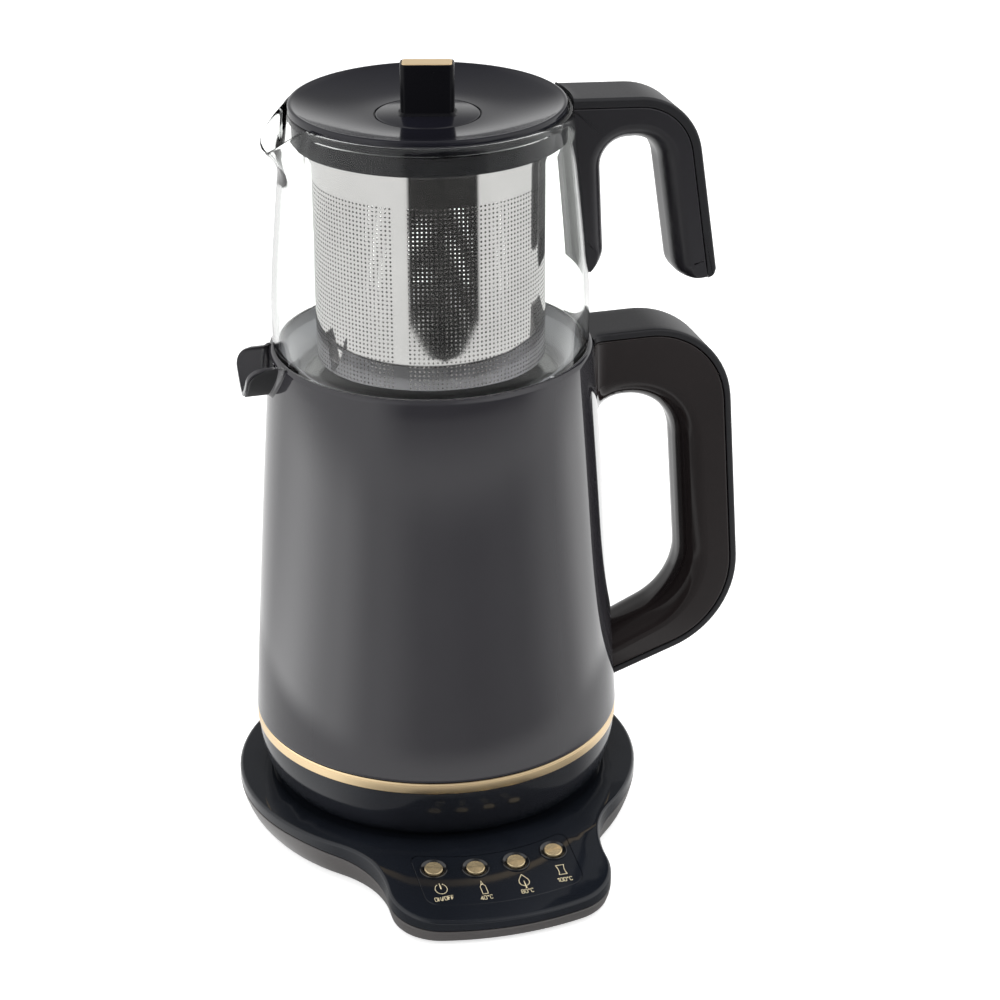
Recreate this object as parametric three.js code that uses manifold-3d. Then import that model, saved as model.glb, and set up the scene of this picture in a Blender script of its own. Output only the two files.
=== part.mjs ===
// An automatic tea maker: a cordless kettle on a powered base, with a glass teapot in its mouth,
// a tea infuser in the teapot and a lid on the infuser.
// Millimetres, +Z up. The origin is on the kettle's axis at the table. +X is the side of the handles,
// -X the side of the spouts and -Y the side of the control panel.
import * as THREE from "three";
import { mergeVertices } from "three/addons/utils/BufferGeometryUtils.js";
import Module from "manifold-3d";

const wasm = await Module();
wasm.setup();

// Clearances, and how finely round shapes are divided
const fitGap = 0.3;
const overrun = 6;
const weldDistance = 0.0001;
const roundSides = 40;
const hiddenSides = 24;
const smallSides = 16;
const tinySides = 10;
const bendSteps = 6;
const curveSteps = 4;
const sideSteps = 2;
const plateSteps = 8;
const backSteps = 10;
const roundingSteps = 3;

// Base: a flat disc with a tongue for the control panel
const footStandoff = 1.5;
const footRadius = 7;
const footRecess = 1;
const footCircle = 63;
const panelFootReach = 108;
const panelFootSpread = 26;
const baseRadius = 88.5;
const baseSeamHeight = 15;
const baseTopHeight = 20;
const baseUndercut = 7;
const baseWall = 2.4;
const baseEdgeRounding = 1.6;
const panelReach = 127;
const panelHalfWidth = 48;
const panelCornerRadius = 23;
const neckRadius = 45;
const panelSeamHeight = 8;
const panelTopHeight = 12;
const panelStart = 81;
const seamDropStart = 50;
const wellRadius = 74;
const wellDepth = 0.9;

// Base screws, and the posts of the cover that they hold
const screwCircle = 62;
const postRadius = 4;
const screwRadius = 1.4;
const screwHeadRadius = 3;
const screwHeadHeight = 1.4;
const screwLength = 9;

// Control panel: an inset plate with four sprung buttons on a circle about the kettle's axis
const plateInner = 87.6;
const plateOuter = 117;
const plateThickness = 1;
const plateHalfAngle = 0.37;
const buttonCircle = 95.5;
const buttonSpacing = 17.7;
const buttonCount = 4;
const buttonRadius = 3.9;
const buttonProud = 1;
const buttonThickness = 1.2;
const buttonTravel = 0.8;
const bezelInner = 4.3;
const bezelOuter = 5.9;
const bezelProud = 0.7;
const bezelDepth = 4;
const plungerRadius = 3.1;
const plungerFlangeRadius = 5.2;
const plungerFlangeHeight = 1;
const switchWidth = 6;
const switchHeight = 2.6;
const boardThickness = 1.6;
const boardWidth = 78;
const boardDepth = 28;
const boardSetback = 7;
const boardPostRadius = 3;
const boardPostSpread = 34;

// Power connector of the base, and the round socket under the kettle
const plugRadius = 16;
const plugHeight = 12;
const plugChamfer = 2;
const plugFlangeRadius = 20;
const plugFlangeHeight = 2;
const plugBoreRadius = 3.6;
const plugBoreDepth = 8;
const contactInner = 9;
const contactOuter = 11;
const contactHeight = 3;
const contactProud = 0.4;
const socketGap = 1.2;
const socketWall = 2.5;
const socketPinRadius = 2.6;
const socketFlangeRadius = 26;
const socketFlangeHeight = 2.2;

// Cord inlet at the back of the base
const glandRadius = 4;
const glandBore = 2.8;
const glandProud = 3;
const glandFlangeRadius = 5.2;
const glandFlangeWidth = 1.6;
const glandHeight = 9.4;

// Kettle, from the underside up
const skirtHeight = 25.3;
const skirtTopRadius = 78.7;
const skirtFootRadius = 68;
const skirtLandWidth = 10;
const skirtRecess = 3.6;
const skirtWall = 2.2;
const skirtOpening = 23;
const supportRadius = 4;
const supportCircle = 57;
const supportCount = 3;
const bandHeight = 5;
const bandRadius = 79.4;
const bandWall = 2;
const shellHeight = 169.1;
const shellFootRadius = 79.5;
const shellTopRadius = 68.3;
const shellBulge = 0.4;
const shellWall = 2.2;
const lipWall = 1.5;
const rimRounding = 2.4;
const mouthDepth = 7.6;
const mouthLand = 1;
const throatRadius = 58.5;
const mouthRingHeight = 11.8;
const sealHeight = 2.4;
const sealWidth = 2.6;
const vesselInset = 5;
const vesselWall = 0.8;
const vesselFloorRise = 5.7;
const vesselHeel = 6;
const plateHeatRadius = 62;
const plateHeatHeight = 3.2;
const elementCircle = 44;
const elementRadius = 3.4;
const sensorRadius = 8;
const sensorHeight = 6;

// Kettle spout: a gutter with an open front, outside a rim that runs on unbroken
const spoutReach = 81.4;
const spoutHalfWidth = 13.9;
const spoutDepth = 16;
const spoutWall = 1.9;
const spoutDip = 0.2;
const spoutFrontBend = 7;
const gutterFloorShare = 0.29;
const gutterSideShare = 0.75;
const linerWall = 1;
const linerDrop = 0.6;
const spoutWindowDrop = 8;
const strainerHalfWidth = 9;
const strainerThickness = 0.8;
const strainerHeight = 6.6;

// Kettle handle: a loop with a cover strip along its spine
const handleWidth = 28;
const handleTopDrop = 0.9;
const gripTopReach = 128.1;
const gripSpread = 9.4;
const gripTopBend = 38;
const gripFootBend = 42;
const handleFootRise = 2.3;
const lowerArmRise = 22.2;
const topArmDepth = 31.8;
const lowerArmDepth = 18.6;
const gripDepth = 24.1;
const gripInnerRise = 16.7;
const windowTopBend = 18;
const windowFootBend = 21;
const spineThickness = 3;
const spineRounding = 1.2;
const gripRounding = 3;
const handleScrewRadius = 1.8;
const handleScrewHeadRadius = 3;
const handleScrewHeadHeight = 1.3;
const handleScrewLength = 10;
const handleScrewInset = 5.5;

// Teapot glass
const glassWall = 2;
const heelRadius = 12;
const potStraightHeight = 18;
const potHeight = 114.2;
const potRimRadius = 59.3;
const potShoulderRise = 13;
const potRimRounding = 0.8;
const ledgeDepth = 3.9;
const ledgeWidth = 1.3;
const ledgeHeight = 4;
const potLipReach = 9.6;
const potLipDrop = 13.2;
const potLipHeight = 30;
const potLipHalfAngle = 0.38;

// Teapot handle: an open hook with a cover strip along its spine
const potHandleWidth = 26;
const potHandleRise = 1.4;
const potHookTopReach = 111;
const potHookFall = 3.4;
const potHookSpread = 11.9;
const potHookLength = 86.5;
const potHookBend = 29;
const potHookEndBend = 6;
const potGripDepth = 17;
const potArmDepth = 20.4;
const potStripThickness = 9;
const potStripLength = 71;
const potStripTaper = 4.5;
const archInnerShare = 0.46;
const archOuterShare = 0.39;
const potSpineThickness = 4;

// Infuser
const screenRadius = 48;
const screenWall = 0.5;
const screenFloorRise = 6.5;
const screenSeat = 3.7;
const collarRadius = 55.6;
const collarHeight = 11.6;
const collarFlangeHeight = 2.5;
const collarMouth = 47;
const collarMouthDepth = 7.6;
const latchWidth = 10;
const latchHeight = 6;
const latchDepth = 0.8;
const latchTurn = -1.7;

// Lid
const lidEdgeHeight = 3.1;
const lidPlugDepth = 5.4;
const lidPlugGap = 0.5;
const lidChamfer = 0.8;
const dishDepth = 5.7;
const insertRadius = 21.6;
const insertThickness = 1.2;
const dishSag = 0.1;
const dishCurveRadius = 40;
const knobWidth = 22;
const knobDepth = 10;
const knobHeight = 22.6;
const knobRounding = 1.5;
const knobTurn = -0.297;
const capRecess = 1;
const capRim = 0.8;
const capThickness = 0.8;
const lidScrewRadius = 1.4;
const lidScrewHeadRadius = 3;
const lidScrewHeadHeight = 1.2;
const lidScrewLength = 10;

// Finishes
const finishes = {
  shellGrey: { color: 0x48474b, roughness: 0.2, metalness: 0 },
  baseBlack: { color: 0x15181d, roughness: 0.22, metalness: 0 },
  baseGrey: { color: 0x5f5e60, roughness: 0.4, metalness: 0 },
  handleBrown: { color: 0x3a3334, roughness: 0.25, metalness: 0 },
  mattBlack: { color: 0x2b2b2e, roughness: 0.6, metalness: 0 },
  paleGrey: { color: 0xb9b9c0, roughness: 0.35, metalness: 0 },
  rubber: { color: 0x1c1c1c, roughness: 0.9, metalness: 0 },
  gold: { color: 0xf0cfa0, roughness: 0.25, metalness: 1 },
  buttonGold: { color: 0xb8a888, roughness: 0.35, metalness: 1 },
  steel: { color: 0xc8c8ca, roughness: 0.2, metalness: 1 },
  aluminium: { color: 0xa8a9ac, roughness: 0.5, metalness: 1 },
  brass: { color: 0xc9a253, roughness: 0.3, metalness: 1 },
  zinc: { color: 0x9a9a98, roughness: 0.35, metalness: 1 },
  board: { color: 0x1f5a36, roughness: 0.6, metalness: 0 },
  silicone: { color: 0xd8d6d0, roughness: 0.8, metalness: 0 },
  glass: { color: 0xf4faf6, roughness: 0.03, metalness: 0, transparent: true, opacity: 0.3 },
};

// Levels, from the table up
const wellFloor = baseTopHeight - wellDepth;
const skirtFoot = wellFloor + fitGap;
const skirtTop = skirtFoot + skirtHeight;
const bandFoot = skirtTop + fitGap;
const bandTop = bandFoot + bandHeight;
const shellFoot = bandTop + fitGap;
const shellRim = shellFoot + shellHeight;
const vesselFloor = shellFoot + vesselFloorRise;
const plateHeatTop = vesselFloor - fitGap;
const plateHeatFoot = plateHeatTop - plateHeatHeight;
const mouthTop = shellRim - mouthDepth;
const mouthFoot = mouthTop - mouthRingHeight;
const sealFoot = mouthFoot - fitGap - sealHeight;
const vesselTop = sealFoot - fitGap;
const lipInner = shellTopRadius - lipWall;
const potRadius = lipInner - fitGap;
const mouthOuter = shellTopRadius - shellWall - fitGap;
const mouthInner = mouthOuter - mouthLand;

// The teapot's rounded heel rests on the 45 degree cone of the kettle's mouth
const heelLift = (heelRadius + fitGap) * Math.SQRT2;
const heelLevel = mouthTop - mouthInner + potRadius - heelRadius + heelLift;
const potFoot = heelLevel - heelRadius;
const potRim = potFoot + potHeight;
const ledgeLevel = potRim - ledgeDepth;
const potRimInner = potRimRadius - glassWall;
const collarFlangeFoot = ledgeLevel + fitGap;
const collarTop = collarFlangeFoot + collarFlangeHeight;
const collarFoot = collarTop - collarHeight;
const lidFoot = collarTop + fitGap;
const lidTop = lidFoot + lidEdgeHeight;
const dishFloor = lidTop - dishDepth;
const insertFoot = dishFloor - insertThickness;
const plugFloor = lidFoot - lidPlugDepth;

// A closed geometry as a solid that can be cut and joined.
function solid(geometry) {
  const bare = geometry.clone();
  bare.deleteAttribute("normal");
  bare.deleteAttribute("uv");
  const merged = mergeVertices(bare, weldDistance);
  const skin = new wasm.Mesh({
    numProp: 3,
    vertProperties: merged.attributes.position.array,
    triVerts: Uint32Array.from(merged.index.array),
  });
  return new wasm.Manifold(skin);
}

// A solid as a geometry again.
function geometryOf(cut) {
  const skin = cut.getMesh();
  const geometry = new THREE.BufferGeometry();
  geometry.setAttribute("position", new THREE.BufferAttribute(skin.vertProperties, 3));
  geometry.setIndex(new THREE.BufferAttribute(skin.triVerts, 1));
  return geometry;
}

function piece(name, cut, finish) {
  const geometry = geometryOf(cut);
  geometry.computeVertexNormals();
  const mesh = new THREE.Mesh(geometry, new THREE.MeshStandardMaterial(finish));
  mesh.name = name;
  return mesh;
}

// A solid turned about the Z axis from [radius, height] pairs, listed anticlockwise.
function turned(profile, sides = roundSides) {
  const points = profile.map(([radius, height]) => new THREE.Vector2(radius, height));
  const first = points[0];
  if (first.x > 0) points.push(first.clone());
  return solid(new THREE.LatheGeometry(points, sides).rotateX(Math.PI / 2));
}

function disc(radius, low, high, sides = smallSides) {
  const body = new THREE.CylinderGeometry(radius, radius, high - low, sides);
  return solid(body.rotateX(Math.PI / 2).translate(0, 0, (low + high) / 2));
}

function sleeve(inner, outer, low, high, sides = roundSides) {
  return turned([[inner, low], [outer, low], [outer, high], [inner, high]], sides);
}

function block(width, depth, low, high) {
  return solid(new THREE.BoxGeometry(width, depth, high - low).translate(0, 0, (low + high) / 2));
}

// A solid laid along +X instead of +Z.
function alongX(cut) {
  return cut.rotate([0, 90, 0]);
}

function arc(x, y, radius, from, to, steps, clockwise = false) {
  const curve = new THREE.EllipseCurve(x, y, radius, radius, from, to, clockwise);
  return curve.getPoints(steps).slice(0, -1);
}

// A closed skin through rings of equally many points, fanned shut at both ends.
function loft(rings, lowCentre, highCentre) {
  const count = rings[0].length;
  const top = (rings.length - 1) * count;
  const lowPoint = rings.length * count;
  const index = [];
  for (let j = 0; j < count; j += 1) {
    const next = (j + 1) % count;
    for (let base = 0; base < top; base += count) {
      index.push(base + j, base + next, base + count + next);
      index.push(base + j, base + count + next, base + count + j);
    }
    index.push(lowPoint, next, j);
    index.push(lowPoint + 1, top + j, top + next);
  }
  const geometry = new THREE.BufferGeometry();
  geometry.setFromPoints([...rings.flat(), lowCentre, highCentre]);
  geometry.setIndex(index);
  return solid(geometry);
}

// A corner between its two neighbours: the directions to them, half the angle and the bisector.
function cornerArc(before, corner, after) {
  const point = new THREE.Vector2(corner[0], corner[1]);
  const back = new THREE.Vector2(before[0], before[1]).sub(point).normalize();
  const ahead = new THREE.Vector2(after[0], after[1]).sub(point).normalize();
  const half = Math.acos(back.dot(ahead)) / 2;
  const inward = back.clone().add(ahead).normalize();
  return { point, back, ahead, half, inward };
}

// Points along a chain of [x, y, radius] corners with the inner corners rounded.
function roundedChain(corners) {
  const points = [];
  corners.forEach((corner, i) => {
    const radius = corner[2];
    if (!radius) {
      points.push(new THREE.Vector2(corner[0], corner[1]));
      return;
    }
    const { point, back, ahead, half, inward } = cornerArc(corners[i - 1], corner, corners[i + 1]);
    const centre = point.clone().addScaledVector(inward, radius / Math.sin(half));
    const start = back.clone().multiplyScalar(radius / Math.tan(half)).add(point).sub(centre);
    const end = ahead.clone().multiplyScalar(radius / Math.tan(half)).add(point).sub(centre);
    const sweep = Math.atan2(start.cross(end), start.dot(end));
    for (let k = 0; k <= bendSteps; k += 1) {
      points.push(start.clone().rotateAround(new THREE.Vector2(), (sweep * k) / bendSteps).add(centre));
    }
  });
  return points;
}

// The same chain moved inwards by a distance, its arcs kept concentric.
function insetChain(corners, distance) {
  return corners.map((corner, i) => {
    if (i > 0 && i < corners.length - 1) {
      const { point, half, inward } = cornerArc(corners[i - 1], corner, corners[i + 1]);
      point.addScaledVector(inward, distance / Math.sin(half));
      return [point.x, point.y, corner[2] - distance];
    }
    const other = corners[i === 0 ? 1 : i - 1];
    const run = new THREE.Vector2(other[0] - corner[0], other[1] - corner[1]).normalize();
    const side = i === 0 ? -1 : 1;
    return [corner[0] + run.y * distance * side, corner[1] - run.x * distance * side, 0];
  });
}

// A body with its outline in the YZ plane, drawn along X between two distances.
function drawnAlongX(outline, from, to) {
  const body = new THREE.ExtrudeGeometry(new THREE.Shape(outline), { depth: to - from, bevelEnabled: false });
  const across = new THREE.Matrix4().makeBasis(
    new THREE.Vector3(0, 1, 0),
    new THREE.Vector3(0, 0, 1),
    new THREE.Vector3(1, 0, 0),
  );
  return solid(body.applyMatrix4(across).translate(from, 0, 0));
}

// A plate of the XZ plane, centred on Y, with its long edges rounded.
function sidePlate(points, width, rounding) {
  const shape = new THREE.Shape(points);
  const body = new THREE.ExtrudeGeometry(shape, {
    depth: width - rounding * 2,
    bevelThickness: rounding,
    bevelSize: rounding,
    bevelOffset: -rounding,
    bevelSegments: 2,
    bevelEnabled: rounding > 0,
    curveSegments: 1,
  });
  return solid(body.translate(0, 0, rounding - width / 2).rotateX(Math.PI / 2));
}

// Base outline

const cornerX = panelHalfWidth - panelCornerRadius;
const cornerReach = panelReach - panelCornerRadius;
const cornerY = -Math.sqrt(cornerReach ** 2 - cornerX ** 2);
const cornerAngle = Math.atan2(cornerY, cornerX);
const neckReach = baseRadius + neckRadius;
const neckSpan = panelCornerRadius + neckRadius;
const neckCosine = (neckReach ** 2 + cornerReach ** 2 - neckSpan ** 2) / (2 * neckReach * cornerReach);
const neckAngle = cornerAngle + Math.acos(neckCosine);
const neckX = neckReach * Math.cos(neckAngle);
const neckY = neckReach * Math.sin(neckAngle);
const neckBearing = Math.atan2(neckY - cornerY, neckX - cornerX);

// The plan outline from the front round to the back and mirrored, moved inwards by an inset.
function baseOutline(inset) {
  const half = Math.PI;
  const back = half / 2;
  const side = [
    ...arc(0, 0, panelReach - inset, -back, cornerAngle, roundingSteps),
    ...arc(cornerX, cornerY, panelCornerRadius - inset, cornerAngle, neckBearing, curveSteps),
    ...arc(neckX, neckY, neckRadius + inset, neckBearing + half, neckAngle + half, curveSteps, true),
    ...arc(0, 0, baseRadius - inset, neckAngle, back, backSteps),
  ];
  const mirrored = side.slice(1).reverse().map((point) => new THREE.Vector2(-point.x, point.y));
  return [...side, new THREE.Vector2(0, baseRadius - inset), ...mirrored];
}

// A height that is level over the disc and falls evenly to the front of the panel.
function fallingHeight(y, level, front, start) {
  const share = THREE.MathUtils.clamp((-y - start) / (panelReach - start), 0, 1);
  return THREE.MathUtils.lerp(level, front, share);
}

const seamAt = (y) => fallingHeight(y, baseSeamHeight, panelSeamHeight, seamDropStart);
const topAt = (y) => fallingHeight(y, baseTopHeight, panelTopHeight, panelStart);

function baseRing(inset, heightAt) {
  return baseOutline(inset).map((point) => new THREE.Vector3(point.x, point.y, heightAt(point.y)));
}

const outlineCentre = -baseRadius / 3;

// A solid inside the base outline, from [inset, height function] rings.
function baseStack(levels) {
  const rings = levels.map(([inset, heightAt]) => baseRing(inset, heightAt));
  const lowAt = levels[0][1];
  const highAt = levels[levels.length - 1][1];
  const low = new THREE.Vector3(0, outlineCentre, lowAt(outlineCentre));
  const high = new THREE.Vector3(0, outlineCentre, highAt(outlineCentre));
  return loft(rings, low, high);
}

// Everything above the top surface of the base, lowered by a drop.
function aboveTop(drop) {
  const far = panelReach + overrun;
  const roof = baseTopHeight + overrun * 2;
  const slopeFront = panelTopHeight - panelSlope * overrun;
  const side = [
    new THREE.Vector2(far, baseTopHeight - drop),
    new THREE.Vector2(far, roof),
    new THREE.Vector2(-far, roof),
    new THREE.Vector2(-far, slopeFront - drop),
    new THREE.Vector2(-panelStart, baseTopHeight - drop),
  ];
  return drawnAlongX(side, -far, far);
}

// Control panel frame: its plane is the sloping top of the tongue, its origin on the button circle

const panelSlope = (baseTopHeight - panelTopHeight) / (panelReach - panelStart);
const panelTilt = Math.atan(panelSlope);
const panelLevel = baseTopHeight - panelSlope * (buttonCircle - panelStart);
const panelMatrix = new THREE.Matrix4()
  .makeTranslation(0, -buttonCircle, panelLevel)
  .multiply(new THREE.Matrix4().makeRotationX(panelTilt));
const onPanel = (cut) => cut.transform(panelMatrix.elements);

const plungerTop = -bezelDepth - fitGap;
const plungerFoot = plungerTop - plungerFlangeHeight;
const boardTop = plungerFoot - buttonTravel - switchHeight - fitGap * 2;
const boardFoot = boardTop - boardThickness;

const buttonPlaces = Array.from({ length: buttonCount }, (_, i) => {
  const angle = ((i - (buttonCount - 1) / 2) * buttonSpacing) / buttonCircle;
  const x = buttonCircle * Math.sin(angle);
  const y = (buttonCircle - buttonCircle * Math.cos(angle)) / Math.cos(panelTilt);
  return new THREE.Vector2(x, y);
});

// The plate's outline in the panel's plane, grown all round by a margin.
function plateSolid(grow, low, high) {
  const inner = plateInner - grow;
  const outer = plateOuter + grow;
  const side = plateHalfAngle + grow / plateOuter;
  const front = -Math.PI / 2;
  const outside = arc(0, 0, outer, front - side, front + side, plateSteps);
  const inside = arc(0, 0, inner, front + side, front - side, plateSteps, true);
  const corners = [
    new THREE.Vector2(outer, 0).rotateAround(new THREE.Vector2(), front + side),
    new THREE.Vector2(inner, 0).rotateAround(new THREE.Vector2(), front - side),
  ];
  const points = [...outside, corners[0], ...inside, corners[1]];
  const along = (y) => (y + buttonCircle) / Math.cos(panelTilt);
  const shape = new THREE.Shape(points.map((point) => new THREE.Vector2(point.x, along(point.y))));
  const body = new THREE.ExtrudeGeometry(shape, { depth: high - low, bevelEnabled: false });
  return solid(body.translate(0, 0, low));
}

function atButtons(cut) {
  return buttonPlaces.map((place) => cut.translate([place.x, place.y, 0]));
}

const screwPlaces = [1, 3, 5, 7].map((eighth) => {
  const angle = (eighth * Math.PI) / 4;
  return new THREE.Vector2(screwCircle * Math.cos(angle), screwCircle * Math.sin(angle));
});

const footPlaces = [
  new THREE.Vector2(footCircle, 0),
  new THREE.Vector2(0, footCircle),
  new THREE.Vector2(-footCircle, 0),
  new THREE.Vector2(-panelFootSpread, -panelFootReach),
  new THREE.Vector2(panelFootSpread, -panelFootReach),
];

const boardPlaces = [-boardPostSpread / 2, boardPostSpread / 2];

function at(cut, place) {
  return cut.translate([place.x, place.y, 0]);
}

// A round body laid through the back wall of the base, between two distances from the axis.
function atGland(radius, from, to) {
  return disc(radius, from, to).rotate([-90, 0, 0]).translate([0, 0, glandHeight]);
}

// Base pieces

const hullInsetShares = [1, 0.45, 0.12, 0];
const hullHeightShares = [0, 0.25, 0.65, 1];

function bottomShell() {
  const floorTop = footStandoff + baseWall;
  const between = (share) => (y) => THREE.MathUtils.lerp(footStandoff, seamAt(y), share);
  const outside = hullInsetShares.map((share, i) => [baseUndercut * share, between(hullHeightShares[i])]);
  const shoulder = outside[outside.length - 2];
  const hollow = baseStack([
    [baseUndercut + baseWall, () => floorTop],
    [shoulder[0] + baseWall, shoulder[1]],
    [baseWall, (y) => seamAt(y) + overrun],
  ]);
  let shell = baseStack(outside).subtract(hollow);
  const boardSpace = block(boardWidth * 2, boardDepth * 2, boardFoot - fitGap, baseTopHeight)
    .translate([0, boardSetback, 0]);
  const boardPost = disc(boardPostRadius, floorTop - baseWall / 2, baseTopHeight);
  for (const x of boardPlaces) {
    const placed = boardPost.translate([x, boardSetback - buttonCircle, 0]);
    shell = shell.add(placed.subtract(onPanel(boardSpace)));
  }
  for (const place of screwPlaces) {
    shell = shell.subtract(at(disc(screwRadius + fitGap, 0, floorTop + overrun), place));
    shell = shell.subtract(at(disc(screwHeadRadius + fitGap, 0, footStandoff + screwHeadHeight), place));
  }
  for (const place of footPlaces) {
    shell = shell.subtract(at(disc(footRadius + fitGap, 0, footStandoff + footRecess), place));
  }
  shell = shell.subtract(atGland(glandRadius + fitGap, baseRadius / 2, baseRadius + overrun));
  return piece("base_bottom_shell", shell, finishes.baseGrey);
}

const edgeInsetShares = [0, 0.3, 1.5];
const edgeLiftShares = [-1, -0.3, 0.5];

function topCover() {
  const edge = baseEdgeRounding;
  const raised = (lift) => (y) => topAt(y) + lift;
  const rounded = edgeInsetShares.map((share, i) => [edge * share, raised(edge * edgeLiftShares[i])]);
  let cover = baseStack([
    [0, (y) => seamAt(y) + fitGap],
    ...rounded,
    [rounded[rounded.length - 1][0], () => baseTopHeight + overrun],
  ]);
  cover = cover.subtract(aboveTop(0));
  const hollow = baseStack([
    [baseWall, (y) => seamAt(y) - overrun],
    [baseWall + edge, () => baseTopHeight + overrun],
  ]);
  cover = cover.subtract(hollow.subtract(aboveTop(baseWall)));
  const post = disc(postRadius, footStandoff + baseWall + fitGap, wellFloor - baseWall / 2);
  const bore = disc(screwRadius + fitGap / 2, 0, screwLength + footStandoff + fitGap);
  for (const place of screwPlaces) {
    cover = cover.add(at(post, place)).subtract(at(bore, place));
  }
  cover = cover.subtract(disc(wellRadius, wellFloor, baseTopHeight + overrun, roundSides));
  cover = cover.subtract(disc(plugRadius + fitGap, 0, baseTopHeight + overrun, roundSides));
  cover = cover.subtract(onPanel(plateSolid(fitGap, -plateThickness - fitGap, overrun)));
  for (const hole of atButtons(disc(bezelOuter + fitGap, -overrun, overrun))) {
    cover = cover.subtract(onPanel(hole));
  }
  return piece("base_top_cover", cover, finishes.baseBlack);
}

function panelPlate() {
  let plate = plateSolid(0, -plateThickness, 0);
  for (const hole of atButtons(disc(bezelOuter + fitGap, -overrun, overrun))) {
    plate = plate.subtract(hole);
  }
  return piece("control_panel_plate", plate, finishes.baseBlack);
}

function baseFeet() {
  const pad = disc(footRadius, 0, footStandoff + footRecess - fitGap);
  return footPlaces.map((place, i) => piece(`foot_${i + 1}`, at(pad, place), finishes.rubber));
}

// A pan-head screw standing on its head.
function screw(radius, headRadius, headHeight, length) {
  return turned([
    [0, 0],
    [headRadius, 0],
    [headRadius, headHeight],
    [radius, headHeight],
    [radius, length],
    [0, length],
  ], tinySides);
}

function baseScrews() {
  const body = screw(screwRadius - fitGap, screwHeadRadius, screwHeadHeight - fitGap, screwLength);
  return screwPlaces.map((place, i) => {
    const placed = at(body, place).translate([0, 0, footStandoff]);
    return piece(`base_screw_${i + 1}`, placed, finishes.zinc);
  });
}

function baseConnector() {
  const flangeTop = baseTopHeight - baseWall - fitGap;
  const top = wellFloor + plugHeight;
  let body = turned([
    [0, flangeTop - plugFlangeHeight],
    [plugFlangeRadius, flangeTop - plugFlangeHeight],
    [plugFlangeRadius, flangeTop],
    [plugRadius, flangeTop],
    [plugRadius, top - plugChamfer],
    [plugRadius - plugChamfer, top],
    [plugBoreRadius, top],
    [plugBoreRadius, top - plugBoreDepth],
    [0, top - plugBoreDepth],
  ], hiddenSides);
  const groove = sleeve(
    contactInner - fitGap,
    contactOuter + fitGap,
    top - contactHeight,
    top + overrun,
    hiddenSides,
  );
  body = body.subtract(groove);
  return piece("base_connector", body, finishes.mattBlack);
}

function connectorContact() {
  const top = wellFloor + plugHeight;
  const low = top - contactHeight + fitGap;
  const ring = sleeve(contactInner, contactOuter, low, top + contactProud, hiddenSides);
  return piece("connector_contact_ring", ring, finishes.brass);
}

function circuitBoard() {
  const board = block(boardWidth, boardDepth, boardFoot, boardTop).translate([0, boardSetback, 0]);
  return piece("circuit_board", board, finishes.board);
}

function cordInlet() {
  const out = baseRadius + glandProud;
  const wallInside = baseRadius - baseUndercut - baseWall;
  const flangeFace = wallInside - glandFlangeWidth;
  const body = atGland(glandRadius, flangeFace, out)
    .add(atGland(glandFlangeRadius, flangeFace - glandFlangeWidth, flangeFace))
    .subtract(atGland(glandBore, 0, out + overrun));
  return piece("cord_inlet", body, finishes.rubber);
}

// One button set: bezel and switch in the base, cap and plunger on the button's own slide.
function buttonSet(place, number) {
  const bezel = sleeve(bezelInner, bezelOuter, -bezelDepth, bezelProud, smallSides);
  const capFoot = buttonProud - buttonThickness;
  const cap = disc(buttonRadius, capFoot, buttonProud);
  const plunger = turned([
    [0, plungerFoot],
    [plungerFlangeRadius, plungerFoot],
    [plungerFlangeRadius, plungerTop],
    [plungerRadius, plungerTop],
    [plungerRadius, capFoot - fitGap],
    [0, capFoot - fitGap],
  ], smallSides);
  const tact = block(switchWidth, switchWidth, boardTop + fitGap, boardTop + fitGap + switchHeight);
  return [
    piece(`button_bezel_${number}`, at(bezel, place), finishes.mattBlack),
    piece(`button_cap_${number}`, at(cap, place), finishes.buttonGold),
    piece(`button_plunger_${number}`, at(plunger, place), finishes.mattBlack),
    piece(`button_switch_${number}`, at(tact, place), finishes.mattBlack),
  ];
}

// Kettle shell curve

const sideTop = shellRim - rimRounding;
const sideCurve = new THREE.QuadraticBezierCurve(
  new THREE.Vector2(shellFootRadius, shellFoot),
  new THREE.Vector2((shellFootRadius + shellTopRadius) / 2 + shellBulge * 2, (shellFoot + sideTop) / 2),
  new THREE.Vector2(shellTopRadius, sideTop),
);
const sideRadius = (z) => sideCurve.getPoint((z - shellFoot) / (sideTop - shellFoot)).x;

// Points up the side of the shell, moved inwards by an inset.
function sidePoints(inset, low, high) {
  return Array.from({ length: sideSteps + 1 }, (_, i) => {
    const z = THREE.MathUtils.lerp(low, high, i / sideSteps);
    return [sideRadius(z) - inset, z];
  });
}

// The space that the shell takes up, grown by a gap, for cutting what stands against it.
function shellSpace(gap) {
  return turned([
    [0, shellFoot - overrun],
    [shellFootRadius + gap, shellFoot - overrun],
    ...sidePoints(-gap, shellFoot, sideTop),
    [shellTopRadius + gap, shellRim + overrun],
    [0, shellRim + overrun],
  ]);
}

// Kettle pieces

function kettleConnector() {
  const inner = plugRadius + socketGap;
  const outer = inner + socketWall;
  const flangeFoot = skirtFoot + skirtRecess + skirtWall + fitGap;
  const roof = wellFloor + plugHeight + contactProud + socketGap;
  const low = wellFloor + socketGap;
  const body = turned([
    [0, wellFloor + plugHeight - plugBoreDepth + socketGap],
    [socketPinRadius, wellFloor + plugHeight - plugBoreDepth + socketGap],
    [socketPinRadius, roof],
    [inner, roof],
    [inner, low],
    [outer, low],
    [outer, flangeFoot],
    [socketFlangeRadius, flangeFoot],
    [socketFlangeRadius, flangeFoot + socketFlangeHeight],
    [outer, flangeFoot + socketFlangeHeight],
    [outer, roof + socketFlangeHeight],
    [0, roof + socketFlangeHeight],
  ], hiddenSides);
  return piece("kettle_connector", body, finishes.mattBlack);
}

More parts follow.
